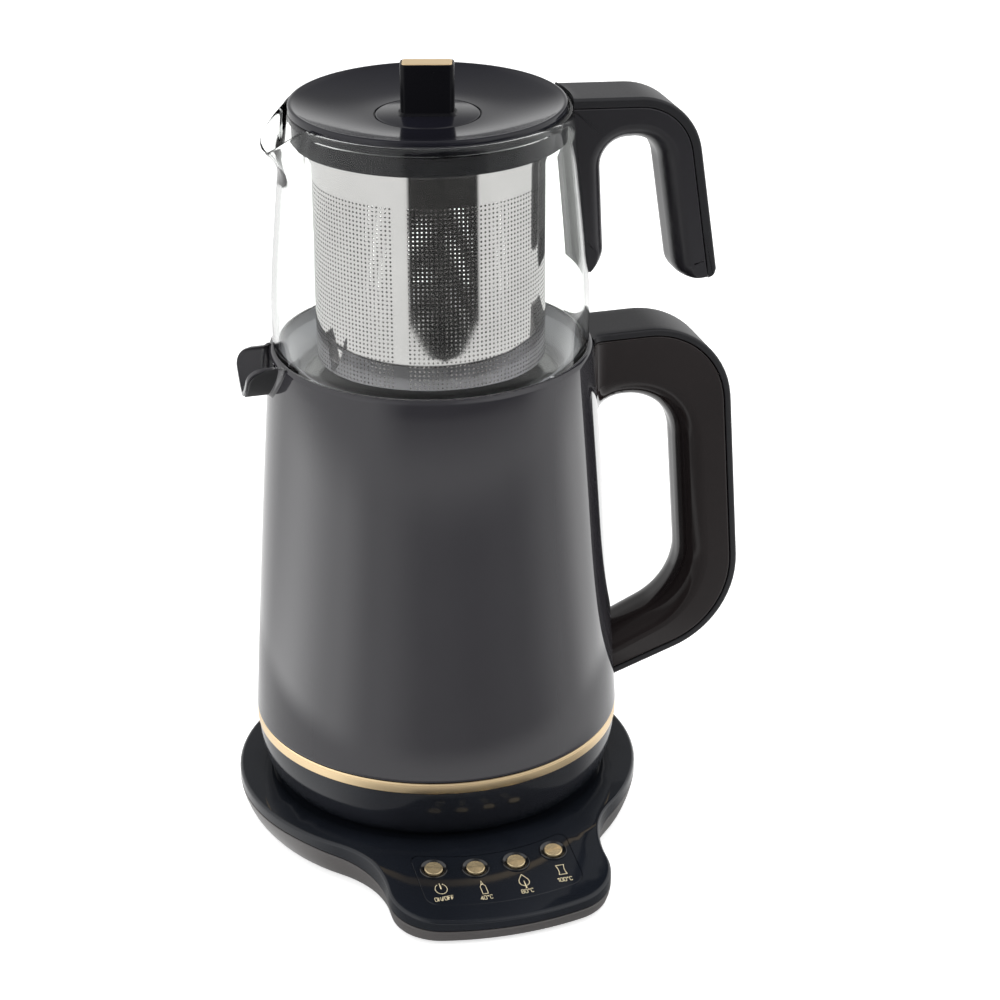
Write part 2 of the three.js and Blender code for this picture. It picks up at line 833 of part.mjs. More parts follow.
function kettleSkirt() {
  const floorFoot = skirtFoot + skirtRecess;
  const bend = (inset, low) => new THREE.QuadraticBezierCurve(
    new THREE.Vector2(skirtFootRadius - inset, low),
    new THREE.Vector2(skirtTopRadius - inset, low + skirtRecess),
    new THREE.Vector2(skirtTopRadius - inset, skirtTop),
  ).getPoints(curveSteps).map((point) => [point.x, point.y]);
  const floorTop = floorFoot + skirtWall;
  let body = turned([
    [skirtOpening, floorFoot],
    [skirtFootRadius - skirtLandWidth - skirtWall, floorFoot],
    [skirtFootRadius - skirtLandWidth, skirtFoot],
    ...bend(0, skirtFoot),
    ...bend(skirtWall, floorTop).reverse(),
    [skirtOpening, floorTop],
  ]);
  for (let i = 0; i < supportCount; i += 1) {
    const post = disc(supportRadius, floorTop - skirtWall / 2, plateHeatFoot - fitGap, tinySides);
    const turn = ((i + 0.5) * 360) / supportCount;
    body = body.add(post.translate([supportCircle, 0, 0]).rotate([0, 0, turn]));
  }
  return piece("kettle_skirt", body, finishes.baseBlack);
}

function goldBand() {
  return piece("trim_band", sleeve(bandRadius - bandWall, bandRadius, bandFoot, bandTop), finishes.gold);
}

const spoutTop = shellRim - spoutDip;
const spoutFloor = spoutTop - spoutDepth;

// The spout's hollow, open at the top and the front, grown by a margin.
function spoutChannel(margin) {
  const half = spoutHalfWidth + margin;
  const floor = spoutFloor - margin;
  const side = new THREE.CubicBezierCurve(
    new THREE.Vector2(0, floor),
    new THREE.Vector2(half * gutterFloorShare, floor),
    new THREE.Vector2(half, THREE.MathUtils.lerp(floor, spoutTop, gutterSideShare)),
    new THREE.Vector2(half, spoutTop),
  ).getPoints(bendSteps);
  const mirrored = side.slice(1).reverse().map((point) => new THREE.Vector2(-point.x, point.y));
  const roof = spoutTop + overrun;
  const section = [new THREE.Vector2(-half, roof), ...mirrored, ...side, new THREE.Vector2(half, roof)];
  return drawnAlongX(section, -spoutReach - overrun, -shellTopRadius + overrun);
}

// The spout seen from the side, from inside the shell to its rounded front, moved inwards by an inset.
function spoutSide(inset) {
  const bend = spoutFrontBend - inset;
  const bendCentre = new THREE.Vector2(spoutFrontBend - spoutReach, spoutTop - spoutFrontBend);
  const foot = spoutFloor - spoutWall - overrun;
  const outline = [
    new THREE.Vector2(-shellTopRadius + overrun, foot),
    new THREE.Vector2(-shellTopRadius + overrun, spoutTop - inset),
    ...arc(bendCentre.x, bendCentre.y, bend, Math.PI / 2, Math.PI, bendSteps),
    new THREE.Vector2(inset - spoutReach, foot),
  ];
  return sidePlate(outline, (spoutHalfWidth + spoutWall + overrun) * 2, 0);
}

function handleScrewHoles(radius) {
  return handleScrewLevels.map((z) =>
    alongX(disc(radius, shellTopRadius / 2, gripTopReach - gripDepth, tinySides)).translate([0, 0, z]));
}

// The opening from the kettle's mouth into the spout, below the rim.
function spoutWindow() {
  const span = block(spoutReach, spoutHalfWidth * 2, spoutFloor, shellRim - spoutWindowDrop);
  return spoutChannel(-fitGap - linerWall).intersect(span.translate([-shellTopRadius, 0, 0]));
}

function kettleShell() {
  const innerTop = mouthTop + fitGap;
  const corner = arc(shellTopRadius - rimRounding, sideTop, rimRounding, 0, Math.PI / 2, roundingSteps);
  let body = turned([
    [shellFootRadius - shellWall, shellFoot],
    ...sidePoints(0, shellFoot, sideTop),
    ...corner.slice(1).map((point) => [point.x, point.y]),
    [(shellTopRadius + lipInner) / 2, shellRim],
    [lipInner, shellRim - lipWall / 2],
    [lipInner, innerTop],
    ...sidePoints(shellWall, shellFoot, innerTop).reverse().slice(0, -1),
  ]);
  body = body.subtract(spoutWindow());
  for (const hole of handleScrewHoles(handleScrewRadius + fitGap)) {
    body = body.subtract(hole);
  }
  return piece("kettle_shell", body, finishes.shellGrey);
}

function kettleSpout() {
  const gutter = spoutChannel(spoutWall)
    .intersect(spoutSide(0))
    .subtract(spoutChannel(0))
    .subtract(shellSpace(fitGap));
  return piece("kettle_spout", gutter, finishes.shellGrey);
}

function spoutLiner() {
  const hollow = spoutChannel(-fitGap - linerWall).subtract(shellSpace(fitGap + linerWall));
  const body = spoutChannel(-fitGap)
    .intersect(spoutSide(linerDrop))
    .subtract(hollow)
    .subtract(shellSpace(fitGap))
    .subtract(spoutWindow());
  return piece("spout_liner", body, finishes.mattBlack);
}

function mouthRing() {
  const throatTop = mouthTop - (mouthInner - throatRadius);
  let body = turned([
    [throatRadius, mouthFoot],
    [mouthOuter, mouthFoot],
    [mouthOuter, mouthTop],
    [mouthInner, mouthTop],
    [throatRadius, throatTop],
  ]);
  const slot = block(overrun * 4, (strainerHalfWidth + fitGap) * 2, strainerFoot - fitGap, shellRim);
  body = body.subtract(slot.translate([-mouthOuter, 0, 0]));
  return piece("mouth_ring", body, finishes.paleGrey);
}

const strainerFoot = spoutFloor + fitGap * 2;

function spoutStrainer() {
  const top = strainerFoot + strainerHeight;
  const screen = block(strainerThickness, strainerHalfWidth * 2, strainerFoot, top);
  return piece("spout_strainer", screen.translate([mouthLand - mouthOuter, 0, 0]), finishes.steel);
}

function sealRing() {
  const outer = sideRadius(vesselTop) - vesselInset + sealWidth / 2;
  const ring = sleeve(outer - sealWidth, outer, sealFoot, sealFoot + sealHeight, hiddenSides);
  return piece("mouth_seal", ring, finishes.silicone);
}

function innerVessel() {
  const low = vesselFloor + vesselHeel;
  const heel = vesselHeel / 2;
  const lowRadius = sideRadius(low) - vesselInset;
  const body = turned([
    [0, vesselFloor],
    [lowRadius - vesselHeel, vesselFloor],
    [lowRadius - heel / 2, vesselFloor + heel],
    ...sidePoints(vesselInset, low, vesselTop),
    ...sidePoints(vesselInset + vesselWall, low, vesselTop).reverse(),
    [lowRadius - vesselWall - heel / 2, vesselFloor + heel + vesselWall / 2],
    [lowRadius - vesselHeel - vesselWall / 2, vesselFloor + vesselWall],
    [0, vesselFloor + vesselWall],
  ], hiddenSides);
  return piece("inner_vessel", body, finishes.steel);
}

function heatingPlate() {
  const plate = disc(plateHeatRadius, plateHeatFoot, plateHeatTop, hiddenSides);
  return piece("heating_plate", plate, finishes.aluminium);
}

function heatingElement() {
  const ring = new THREE.TorusGeometry(elementCircle, elementRadius, tinySides, hiddenSides);
  const level = plateHeatFoot - fitGap - elementRadius;
  return piece("heating_element", solid(ring.translate(0, 0, level)), finishes.steel);
}

function thermostat() {
  const top = plateHeatFoot - fitGap;
  return piece("thermostat", disc(sensorRadius, top - sensorHeight, top), finishes.aluminium);
}

// Kettle handle

const gripFootReach = gripTopReach + gripSpread;
const handleTop = shellRim - handleTopDrop;
const handleFoot = shellFoot + handleFootRise;
const gripLean = gripSpread / (handleTop - handleFoot - lowerArmRise);
const windowTop = handleTop - topArmDepth;
const gripInnerLevel = handleFoot + lowerArmRise + gripInnerRise;
const gripInnerAt = (z) => gripTopReach - gripDepth + (handleTop - z) * gripLean;
const handleRoot = shellTopRadius - shellWall;
const handleScrewLevels = [windowTop + handleScrewInset, handleFoot + handleScrewInset * 2];

const spineCorners = [
  [handleRoot, handleFoot, 0],
  [gripFootReach, handleFoot + lowerArmRise, gripFootBend],
  [gripTopReach, handleTop, gripTopBend],
  [handleRoot, handleTop, 0],
];

const windowCorners = [
  [handleRoot, windowTop, 0],
  [gripInnerAt(windowTop), windowTop, windowTopBend],
  [gripInnerAt(gripInnerLevel), gripInnerLevel, windowFootBend],
  [handleRoot, handleFoot + lowerArmDepth, 0],
];

// The strip between a chain and the same chain moved inwards.
function spineStrip(corners, thickness, width) {
  const outside = roundedChain(corners);
  const inside = roundedChain(insetChain(corners, thickness)).reverse();
  return sidePlate([...outside, ...inside], width, spineRounding);
}

function kettleHandle() {
  const outside = roundedChain(insetChain(spineCorners, spineThickness + fitGap));
  const loop = sidePlate([...outside, ...roundedChain(windowCorners)], handleWidth, gripRounding);
  let body = loop.subtract(shellSpace(fitGap));
  for (const hole of handleScrewHoles(handleScrewRadius - fitGap / 2)) {
    body = body.subtract(hole);
  }
  const cover = spineStrip(spineCorners, spineThickness, handleWidth).subtract(shellSpace(fitGap));
  return [
    piece("kettle_handle_body", body, finishes.handleBrown),
    piece("kettle_handle_cover", cover, finishes.mattBlack),
  ];
}

function handleScrews() {
  const body = screw(
    handleScrewRadius - fitGap,
    handleScrewHeadRadius,
    handleScrewHeadHeight,
    handleScrewLength,
  );
  return handleScrewLevels.map((z, i) => {
    const seat = sideRadius(z) - shellWall - fitGap * 2 - handleScrewHeadHeight;
    return piece(`handle_screw_${i + 1}`, alongX(body).translate([seat, 0, z]), finishes.zinc);
  });
}

// Teapot glass

const glassCurve = (inset) => new THREE.QuadraticBezierCurve(
  new THREE.Vector2(potRadius - inset, heelLevel + potStraightHeight),
  new THREE.Vector2(potRadius - inset, heelLevel + potStraightHeight + potShoulderRise),
  new THREE.Vector2(potRimRadius - inset, potRim - potRimRounding),
).getPoints(curveSteps).map((point) => [point.x, point.y]);

function heelPoints(radius) {
  const centre = potRadius - heelRadius;
  return Array.from({ length: curveSteps + 1 }, (_, i) => {
    const angle = ((i - curveSteps) * Math.PI) / (curveSteps * 2);
    return [centre + radius * Math.cos(angle), heelLevel + radius * Math.sin(angle)];
  });
}

// How far the pouring lip draws a point of the glass outwards and down, as shares of its full size.
function lipShares(point) {
  const turn = Math.PI - Math.abs(Math.atan2(point.y, point.x));
  const across = THREE.MathUtils.clamp(1 - turn / potLipHalfAngle, 0, 1);
  const upwards = THREE.MathUtils.clamp((point.z - potRim + potLipHeight) / potLipHeight, 0, 1);
  return [THREE.MathUtils.smoothstep(across, 0, 1) * upwards ** 2, across * upwards];
}

function teapotGlass() {
  const ledgeInner = potRimInner - ledgeWidth;
  const inside = glassCurve(glassWall).reverse().filter(([, z]) => z < ledgeLevel - ledgeHeight);
  const pot = turned([
    [0, potFoot],
    ...heelPoints(heelRadius),
    ...glassCurve(0),
    [potRimRadius - potRimRounding, potRim],
    [potRimInner, potRim - potRimRounding],
    [potRimInner, ledgeLevel],
    [ledgeInner, ledgeLevel],
    [ledgeInner, ledgeLevel - ledgeWidth],
    ...inside,
    ...heelPoints(heelRadius - glassWall).reverse(),
    [0, potFoot + glassWall],
  ]);
  const glass = geometryOf(pot);
  const position = glass.attributes.position;
  const point = new THREE.Vector3();
  for (let i = 0; i < position.count; i += 1) {
    point.fromBufferAttribute(position, i);
    const [outShare, downShare] = lipShares(point);
    const outwards = new THREE.Vector3(point.x, point.y, 0).normalize();
    point.addScaledVector(outwards, potLipReach * outShare);
    point.z -= potLipDrop * downShare;
    position.setXYZ(i, point.x, point.y, point.z);
  }
  return piece("teapot_glass", solid(glass), finishes.glass);
}

// The space that the teapot's glass takes up, grown by a gap.
function potSpace(gap) {
  return turned([
    [0, heelLevel],
    [potRadius + gap, heelLevel],
    ...glassCurve(-gap),
    [potRimRadius + gap, potRim + overrun],
    [0, potRim + overrun],
  ]);
}

function teapotHandle() {
  const root = potRimInner - overrun;
  const top = potRim + potHandleRise;
  const end = top - potHookLength;
  const endReach = potHookTopReach + potHookSpread;
  const lean = potHookSpread / (potHookLength - potHookFall);
  const innerAt = (z) => potHookTopReach - potGripDepth + (top - potHookFall - z) * lean;
  const archTop = top - potArmDepth;
  const stripFoot = top - potStripLength;
  const stripFace = potRimRadius + potStripThickness;
  const archSpan = innerAt(archTop) - stripFace;
  const spine = [
    [endReach, end, 0],
    [potHookTopReach, top - potHookFall, potHookBend],
    [root, top, 0],
  ];
  const under = [
    [root, stripFoot - potStripTaper, 0],
    [stripFace, stripFoot, 0],
    [stripFace, archTop, archSpan * archInnerShare],
    [innerAt(archTop), archTop, archSpan * archOuterShare],
    [innerAt(end), end, potHookEndBend],
    [endReach, end, 0],
  ];
  const outside = roundedChain(insetChain(spine, potSpineThickness + fitGap));
  const hook = [...outside, ...roundedChain(under).slice(0, -1)];
  const space = potSpace(fitGap);
  const body = sidePlate(hook, potHandleWidth, gripRounding).subtract(space);
  const cover = spineStrip(spine, potSpineThickness, potHandleWidth).subtract(space);
  return [
    piece("teapot_handle_body", body, finishes.mattBlack),
    piece("teapot_handle_cover", cover, finishes.mattBlack),
  ];
}

// Infuser

const screenTop = collarFoot + screenSeat;
const screenFoot = potFoot + glassWall + screenFloorRise;

function infuserCollar() {
  const flangeRadius = potRimInner - fitGap;
  let body = turned([
    [screenRadius + fitGap, collarFoot],
    [collarRadius, collarFoot],
    [collarRadius, collarFlangeFoot],
    [flangeRadius, collarFlangeFoot],
    [flangeRadius, collarTop],
    [collarMouth + lidPlugGap, collarTop],
    [collarMouth, collarTop - collarMouthDepth],
    [collarMouth, screenTop + fitGap],
    [screenRadius + fitGap, screenTop + fitGap],
  ]);
  const latchLevel = (collarFoot + collarFlangeFoot) / 2;
  const recess = block(overrun, latchWidth, latchLevel - latchHeight / 2, latchLevel + latchHeight / 2)
    .translate([collarRadius - latchDepth + overrun / 2, 0, 0])
    .rotate([0, 0, THREE.MathUtils.radToDeg(latchTurn)]);
  body = body.subtract(recess);
  return piece("infuser_collar", body, finishes.mattBlack);
}

function infuserScreen() {
  const screen = sleeve(screenRadius - screenWall, screenRadius, screenFoot, screenTop);
  return piece("infuser_screen", screen, finishes.steel);
}

function infuserFloor() {
  const radius = screenRadius - screenWall - fitGap;
  const floor = disc(radius, screenFoot, screenFoot + screenWall, roundSides);
  return piece("infuser_floor", floor, finishes.steel);
}

// Lid

function lidDish() {
  const edge = potRimInner - fitGap;
  const plug = collarMouth - lidPlugGap;
  const dish = new THREE.QuadraticBezierCurve(
    new THREE.Vector2(edge - lidChamfer, lidTop),
    new THREE.Vector2(dishCurveRadius, dishFloor - dishSag),
    new THREE.Vector2(insertRadius + fitGap, dishFloor),
  ).getPoints(curveSteps).map((point) => [point.x, point.y]);
  let body = turned([
    [0, plugFloor],
    [plug, plugFloor],
    [plug, lidFoot],
    [edge, lidFoot],
    [edge, lidTop - lidChamfer],
    ...dish,
    [insertRadius + fitGap, insertFoot - fitGap],
    [0, insertFoot - fitGap],
  ]);
  body = body.subtract(disc(lidScrewRadius + fitGap, 0, lidTop, tinySides));
  return piece("lid_dish", body, finishes.baseBlack);
}

function lidInsert() {
  const plate = disc(insertRadius, insertFoot, dishFloor, roundSides);
  const hole = disc(lidScrewRadius + fitGap, 0, lidTop, tinySides);
  return piece("lid_insert", plate.subtract(hole), finishes.baseBlack);
}

// An upright block with rounded corners, turned as the knob is.
function knobBlock(width, depth, rounding, low, high) {
  const x = width / 2 - rounding;
  const y = depth / 2 - rounding;
  const quarter = Math.PI / 2;
  const shape = new THREE.Shape([
    ...arc(x, y, rounding, 0, quarter, roundingSteps),
    ...arc(-x, y, rounding, quarter, quarter * 2, roundingSteps),
    ...arc(-x, -y, rounding, quarter * 2, quarter * 3, roundingSteps),
    ...arc(x, -y, rounding, quarter * 3, quarter * 4, roundingSteps),
  ]);
  const body = new THREE.ExtrudeGeometry(shape, { depth: high - low, bevelEnabled: false });
  return solid(body.translate(0, 0, low).rotateZ(knobTurn));
}

const knobFoot = dishFloor + fitGap;
const knobTop = knobFoot + knobHeight;

function lidKnob() {
  const recess = knobBlock(
    knobWidth - capRim * 2,
    knobDepth - capRim * 2,
    knobRounding / 2,
    knobTop - capRecess,
    knobTop + overrun,
  );
  const body = knobBlock(knobWidth, knobDepth, knobRounding, knobFoot, knobTop)
    .subtract(recess)
    .subtract(disc(lidScrewRadius - fitGap / 2, 0, knobFoot + lidScrewLength, tinySides));
  return piece("lid_knob", body, finishes.baseBlack);
}

function knobCap() {
  const margin = (capRim + fitGap) * 2;
  const low = knobTop - capRecess + fitGap;
  const high = low + capThickness;
  const body = knobBlock(knobWidth - margin, knobDepth - margin, knobRounding / 2, low, high);
  return piece("knob_cap", body, finishes.gold);
}

function lidScrew() {
  const body = screw(lidScrewRadius - fitGap, lidScrewHeadRadius, lidScrewHeadHeight, lidScrewLength);
  const seat = plugFloor - fitGap - lidScrewHeadHeight;
  return piece("lid_screw", body.translate([0, 0, seat]), finishes.zinc);
}

// The whole object

const panel = new THREE.Group();
panel.applyMatrix4(panelMatrix);
panel.add(panelPlate(), circuitBoard(), ...buttonPlaces.flatMap((place, i) => buttonSet(place, i + 1)));

const teaMaker = new THREE.Group();
teaMaker.add(
  bottomShell(),
  topCover(),
  ...baseFeet(),
  ...baseScrews(),
  baseConnector(),
  connectorContact(),
  cordInlet(),
  panel,
  kettleConnector(),
  kettleSkirt(),
  goldBand(),
  kettleShell(),
  kettleSpout(),
  spoutLiner(),
  spoutStrainer(),
  mouthRing(),
  sealRing(),
  innerVessel(),
  heatingPlate(),
  heatingElement(),
  thermostat(),
  ...kettleHandle(),
  ...handleScrews(),
  teapotGlass(),
  ...teapotHandle(),
  infuserCollar(),
  infuserScreen(),
  infuserFloor(),
  lidDish(),
  lidInsert(),
  lidKnob(),
  knobCap(),
  lidScrew(),
);

export default teaMaker;
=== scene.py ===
import math

import bmesh
import bpy
import numpy as np
from mathutils import Matrix, Vector
from mathutils.geometry import delaunay_2d_cdt


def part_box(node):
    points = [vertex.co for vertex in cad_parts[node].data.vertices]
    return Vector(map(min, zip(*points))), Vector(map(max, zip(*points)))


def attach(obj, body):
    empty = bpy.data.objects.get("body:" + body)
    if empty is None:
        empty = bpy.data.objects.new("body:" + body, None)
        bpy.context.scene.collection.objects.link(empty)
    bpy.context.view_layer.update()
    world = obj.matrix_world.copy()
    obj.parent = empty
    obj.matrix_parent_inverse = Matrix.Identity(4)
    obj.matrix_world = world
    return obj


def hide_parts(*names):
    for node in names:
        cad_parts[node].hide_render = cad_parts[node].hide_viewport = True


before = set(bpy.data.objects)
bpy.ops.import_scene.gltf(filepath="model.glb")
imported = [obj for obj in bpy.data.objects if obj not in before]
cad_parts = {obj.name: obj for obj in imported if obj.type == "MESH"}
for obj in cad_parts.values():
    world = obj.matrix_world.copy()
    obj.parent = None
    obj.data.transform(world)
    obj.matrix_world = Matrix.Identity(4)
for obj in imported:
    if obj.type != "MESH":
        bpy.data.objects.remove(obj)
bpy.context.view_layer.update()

# The view of the photograph: a long lens a little over a metre away, looking down across the panel
# from the left of it. The studio is a white room with a pale floor, a large soft box on each side and
# Mirrors see a darker room. In mirrors the floor glows with a painted pattern: a pale area round the object
# with bright bands at its sides, painted shade round the front of the base, a darker far floor in front and a
# painted dark card in front.
def linked(name, data):
    """A new object in the scene."""
    made = bpy.data.objects.new(name, data)
    bpy.context.collection.objects.link(made)
    return made


eye = Vector((-0.2751, -1.0633, 0.6504))
heading = Vector((0.2757, 0.9614, 0.0)).normalized()
pitch = 0.4316
roll = 0.0043
look = heading * math.cos(pitch) - Vector((0, 0, math.sin(pitch)))
level_right = look.cross(Vector((0, 0, 1))).normalized()
level_up = level_right.cross(look)
camera_right = level_right * math.cos(roll) - level_up * math.sin(roll)
camera_up = level_right * math.sin(roll) + level_up * math.cos(roll)
camera_data = bpy.data.cameras.new("camera")
camera_data.lens = 100.8
camera_data.sensor_width = 36
camera = linked("camera", camera_data)
camera.matrix_world = Matrix.Translation(eye) @ Matrix((camera_right, camera_up, -look)).transposed().to_4x4()
scene = bpy.context.scene
scene.camera = camera
scene.view_settings.view_transform = "Standard"


def soft_box(name, place, target, width, height, power):
    """A rectangular studio lamp at a place, facing a target. Mirrors and glass don't show it."""
    data = bpy.data.lights.new(name, "AREA")
    data.shape = "RECTANGLE"
    data.size, data.size_y, data.energy = width, height, power
    lamp = linked(name, data)
    lamp.visible_glossy = lamp.visible_transmission = False
    direction = Vector(target) - Vector(place)
    lamp.matrix_world = Matrix.Translation(place) @ direction.to_track_quat("-Z", "Y").to_matrix().to_4x4()


soft_box("left_box", (-1.5, -0.5, 0.7), (0, 0, 0.15), 0.45, 1.2, 9)
soft_box("right_box", (1.3, -0.9, 0.75), (0, 0, 0.15), 0.45, 1.1, 6)
soft_box("top_box", (-0.1, -0.3, 1.8), (0, 0, 0.1), 1.2, 1.0, 14)


def node(tree, kind, inputs=(), **settings):
    """A node with its settings, and its inputs given as values, sockets or nodes with one result."""
    made = tree.nodes.new(kind)
    for name, value in settings.items():
        setattr(made, name, value)
    for name, value in dict(inputs).items():
        if isinstance(value, bpy.types.Node):
            value = value.outputs[0]
        if isinstance(value, bpy.types.NodeSocket):
            tree.links.new(value, made.inputs[name])
        else:
            made.inputs[name].default_value = value
    return made


def maths(tree, operation, first, second=0.0):
    """One step of arithmetic."""
    return node(tree, "ShaderNodeMath", {0: first, 1: second}, operation=operation)


def span(tree, value, start, end, low=0.0, high=1.0):
    """A value spread from one range over another, and held at its ends."""
    return node(tree, "ShaderNodeMapRange", {"Value": value, "From Min": start, "From Max": end,
                                             "To Min": low, "To Max": high})


def mixed(tree, share, first, second):
    """A mix of two colours, or of greys given as plain levels."""
    first, second = [(shade,) * 3 + (1,) if isinstance(shade, float) else shade for shade in (first, second)]
    return node(tree, "ShaderNodeMixRGB", {"Fac": share, "Color1": first, "Color2": second})


def linear(shade):
    """A shade of 0 to 255 levels as the linear colour that Blender keeps."""
    levels = [level / 255 for level in shade]
    return [v / 12.92 if v <= 0.04045 else ((v + 0.055) / 1.055) ** 2.4 for v in levels] + [1.0]


def grey_ramp(tree, factor, *stops):
    """A smooth ramp of greys over a factor, from (place, level) stops."""
    made = node(tree, "ShaderNodeValToRGB", {"Fac": factor})
    made.color_ramp.interpolation = "EASE"
    elements = made.color_ramp.elements
    elements.remove(elements[1])
    for i, (place, level) in enumerate(stops):
        stop = elements[0] if i == 0 else elements.new(place)
        stop.position = place
        stop.color = (level, level, level, 1)
    return made


def bounced(tree, kind):
    """One for rays that were bent or mirrored on their way, and nought for others."""
    return maths(tree, "GREATER_THAN", node(tree, "ShaderNodeLightPath").outputs[kind + " Depth"], 0.5)


def plainly_seen(tree):
    """One for rays that come from the camera, straight or through glass, and nought for all others."""
    rays = node(tree, "ShaderNodeLightPath").outputs
    straight = maths(tree, "MAXIMUM", rays["Is Camera Ray"], rays["Is Transmission Ray"])
    clean = maths(tree, "LESS_THAN", rays["Glossy Depth"], 0.5)
    direct = maths(tree, "LESS_THAN", rays["Diffuse Depth"], 0.5)
    return maths(tree, "MULTIPLY", straight, maths(tree, "MULTIPLY", clean, direct))


world = bpy.data.worlds.new("studio")
scene.world = world
world.use_nodes = True
sky = world.node_tree
sky.nodes.clear()
outward = node(sky, "ShaderNodeTexCoord").outputs["Generated"]
axes = node(sky, "ShaderNodeSeparateXYZ", {"Vector": outward}).outputs
turn = span(sky, maths(sky, "ARCTAN2", axes["Y"], axes["X"]), -math.pi, math.pi)
wall = grey_ramp(sky, turn, (0.0, 1.0), (0.08, 1.1), (0.13, 0.5), (0.17, 0.1), (0.24, 0.08), (0.29, 0.3),
                 (0.34, 0.9), (0.45, 1.0), (0.7, 0.9), (1.0, 1.0))
sideways = node(sky, "ShaderNodeVectorMath", {0: outward, 1: (heading.y, -heading.x, 0)},
                operation="DOT_PRODUCT")
above = grey_ramp(sky, maths(sky, "ABSOLUTE", sideways.outputs["Value"]), (0.0, 0.24), (0.16, 0.26),
                  (0.36, 0.6), (0.6, 0.95), (1.0, 1.0))
room = mixed(sky, grey_ramp(sky, axes["Z"], (0.0, 0.0), (0.12, 0.0), (0.42, 1.0), (1.0, 1.0)), wall, above)
white = maths(sky, "MAXIMUM", plainly_seen(sky), bounced(sky, "Transmission"))
shine = node(sky, "ShaderNodeBackground", {"Color": mixed(sky, white, room, 1.0), "Strength": 1.0})
node(sky, "ShaderNodeOutputWorld", {"Surface": shine})

floor_mesh = bpy.data.meshes.new("floor")
floor_mesh.from_pydata([(-8, -8, 0), (8, -8, 0), (8, 8, 0), (-8, 8, 0)], [], [(0, 1, 2, 3)])
linked("floor", floor_mesh)
floor_finish = bpy.data.materials.new("floor_paper")
floor_finish.use_nodes = True
floor_mesh.materials.append(floor_finish)
paper = floor_finish.node_tree
paper.nodes.clear()
spot = node(paper, "ShaderNodeNewGeometry").outputs["Position"]
spot_bearing = node(paper, "ShaderNodeVectorMath", {0: spot}, operation="NORMALIZE")
reach = node(paper, "ShaderNodeVectorMath", {0: spot}, operation="LENGTH").outputs["Value"]


def turn_from(degrees):
    """The angle, in half turns, between a spot of the floor and a bearing, seen from the object."""
    way = (math.cos(math.radians(degrees)), math.sin(math.radians(degrees)), 0)
    along = node(paper, "ShaderNodeVectorMath", {0: spot_bearing, 1: way}, operation="DOT_PRODUCT")
    return maths(paper, "DIVIDE", maths(paper, "ARCCOSINE", along.outputs["Value"]), math.pi)


half_turn = turn_from(-82)
# Painted shade on the floor round the front of the base, seen only in mirrors.
painted_shade_by_base = grey_ramp(paper, half_turn, (0.0, 0.25), (0.25, 0.3), (0.45, 1.0), (1.0, 1.0))
# Painted glow of the floor as mirrors see it: a pale area round the object, brighter than white in bands at
# its sides.
painted_table_glow = grey_ramp(paper, half_turn, (0.0, 0.36), (0.14, 0.44), (0.32, 0.9), (0.46, 1.7), (0.62, 2.4),
                  (0.8, 1.2))
# Painted far floor for mirrors: dark in front of the object, pale elsewhere.
painted_far_floor = grey_ramp(paper, half_turn, (0.0, 0.06), (0.2, 0.08), (0.36, 0.9), (1.0, 0.95))
painted_table_mask = grey_ramp(paper, reach, (0.0, 0.0), (0.2, 0.0), (0.24, 1.0), (0.56, 1.0), (0.8, 0.0))
painted_floor_pattern = mixed(paper, painted_table_mask, mixed(paper, span(paper, reach, 0.7, 0.95), 0.95, painted_far_floor), painted_table_glow)
# Within about 0.16 m of the middle the mirrored floor takes the painted shade round the base.
painted_floor_pattern = mixed(paper, span(paper, reach, 0.18, 0.16), painted_floor_pattern, painted_shade_by_base)
# A painted dark card on the floor in front of the object, seen only in mirrors.
painted_card_width = span(paper, reach, 0.54, 0.68, -0.02, 0.19)
painted_dark_card = span(paper, maths(paper, "SUBTRACT", painted_card_width, turn_from(-91)), -0.006, 0.012)
painted_mirror_view = mixed(paper, bounced(paper, "Transmission"), painted_floor_pattern, mixed(paper, painted_dark_card, 0.93, 0.03))
paper_grain = node(paper, "ShaderNodeTexNoise", {"Scale": 3.0, "Detail": 2.0})
dull = node(paper, "ShaderNodeBsdfDiffuse", {"Color": mixed(paper, paper_grain, 0.9, 0.92)})
glow = node(paper, "ShaderNodeEmission", {"Strength": 0.62})
lit = node(paper, "ShaderNodeAddShader", {0: dull, 1: glow})
seen = node(paper, "ShaderNodeMixShader", {0: plainly_seen(paper), 1: dull, 2: lit})
# Mirrors see the painted pattern as a glow of its own, not the floor as the lamps light it.
mirrored = node(paper, "ShaderNodeEmission", {"Color": painted_mirror_view, "Strength": 1.0})
whole_floor = node(paper, "ShaderNodeMixShader", {0: bounced(paper, "Glossy"), 1: seen, 2: mirrored})
node(paper, "ShaderNodeOutputMaterial", {"Surface": whole_floor})

# Lower shell of the base: one moulding in satin grey plastic, rounded under so that the base seems to
# float. It is screwed to the cover from below, and its seam dips with the control panel.
millimetre = 0.001


def clean_mesh(name, points, faces, merge=0.002, crease=32):
    """A mesh from points in millimetres and faces, merged along its seams and facing outwards."""
    mesh = bpy.data.meshes.new(name)
    mesh.from_pydata([tuple(p) for p in points], [], [tuple(f) for f in faces])
    work = bmesh.new()
    work.from_mesh(mesh)
    bmesh.ops.remove_doubles(work, verts=work.verts, dist=merge)
    bmesh.ops.recalc_face_normals(work, faces=work.faces)
    bmesh.ops.scale(work, vec=(millimetre,) * 3, verts=work.verts)
    work.to_mesh(mesh)
    work.free()
    mesh.shade_smooth()
    mesh.set_sharp_from_angle(angle=math.radians(crease))
    return mesh


def worked_mesh(piece, modifier):
    """The mesh that a piece's modifier makes. The modifier is taken off."""
    bpy.context.view_layer.update()
    mesh = bpy.data.meshes.new_from_object(piece.evaluated_get(bpy.context.evaluated_depsgraph_get()))
    piece.modifiers.remove(modifier)
    return mesh


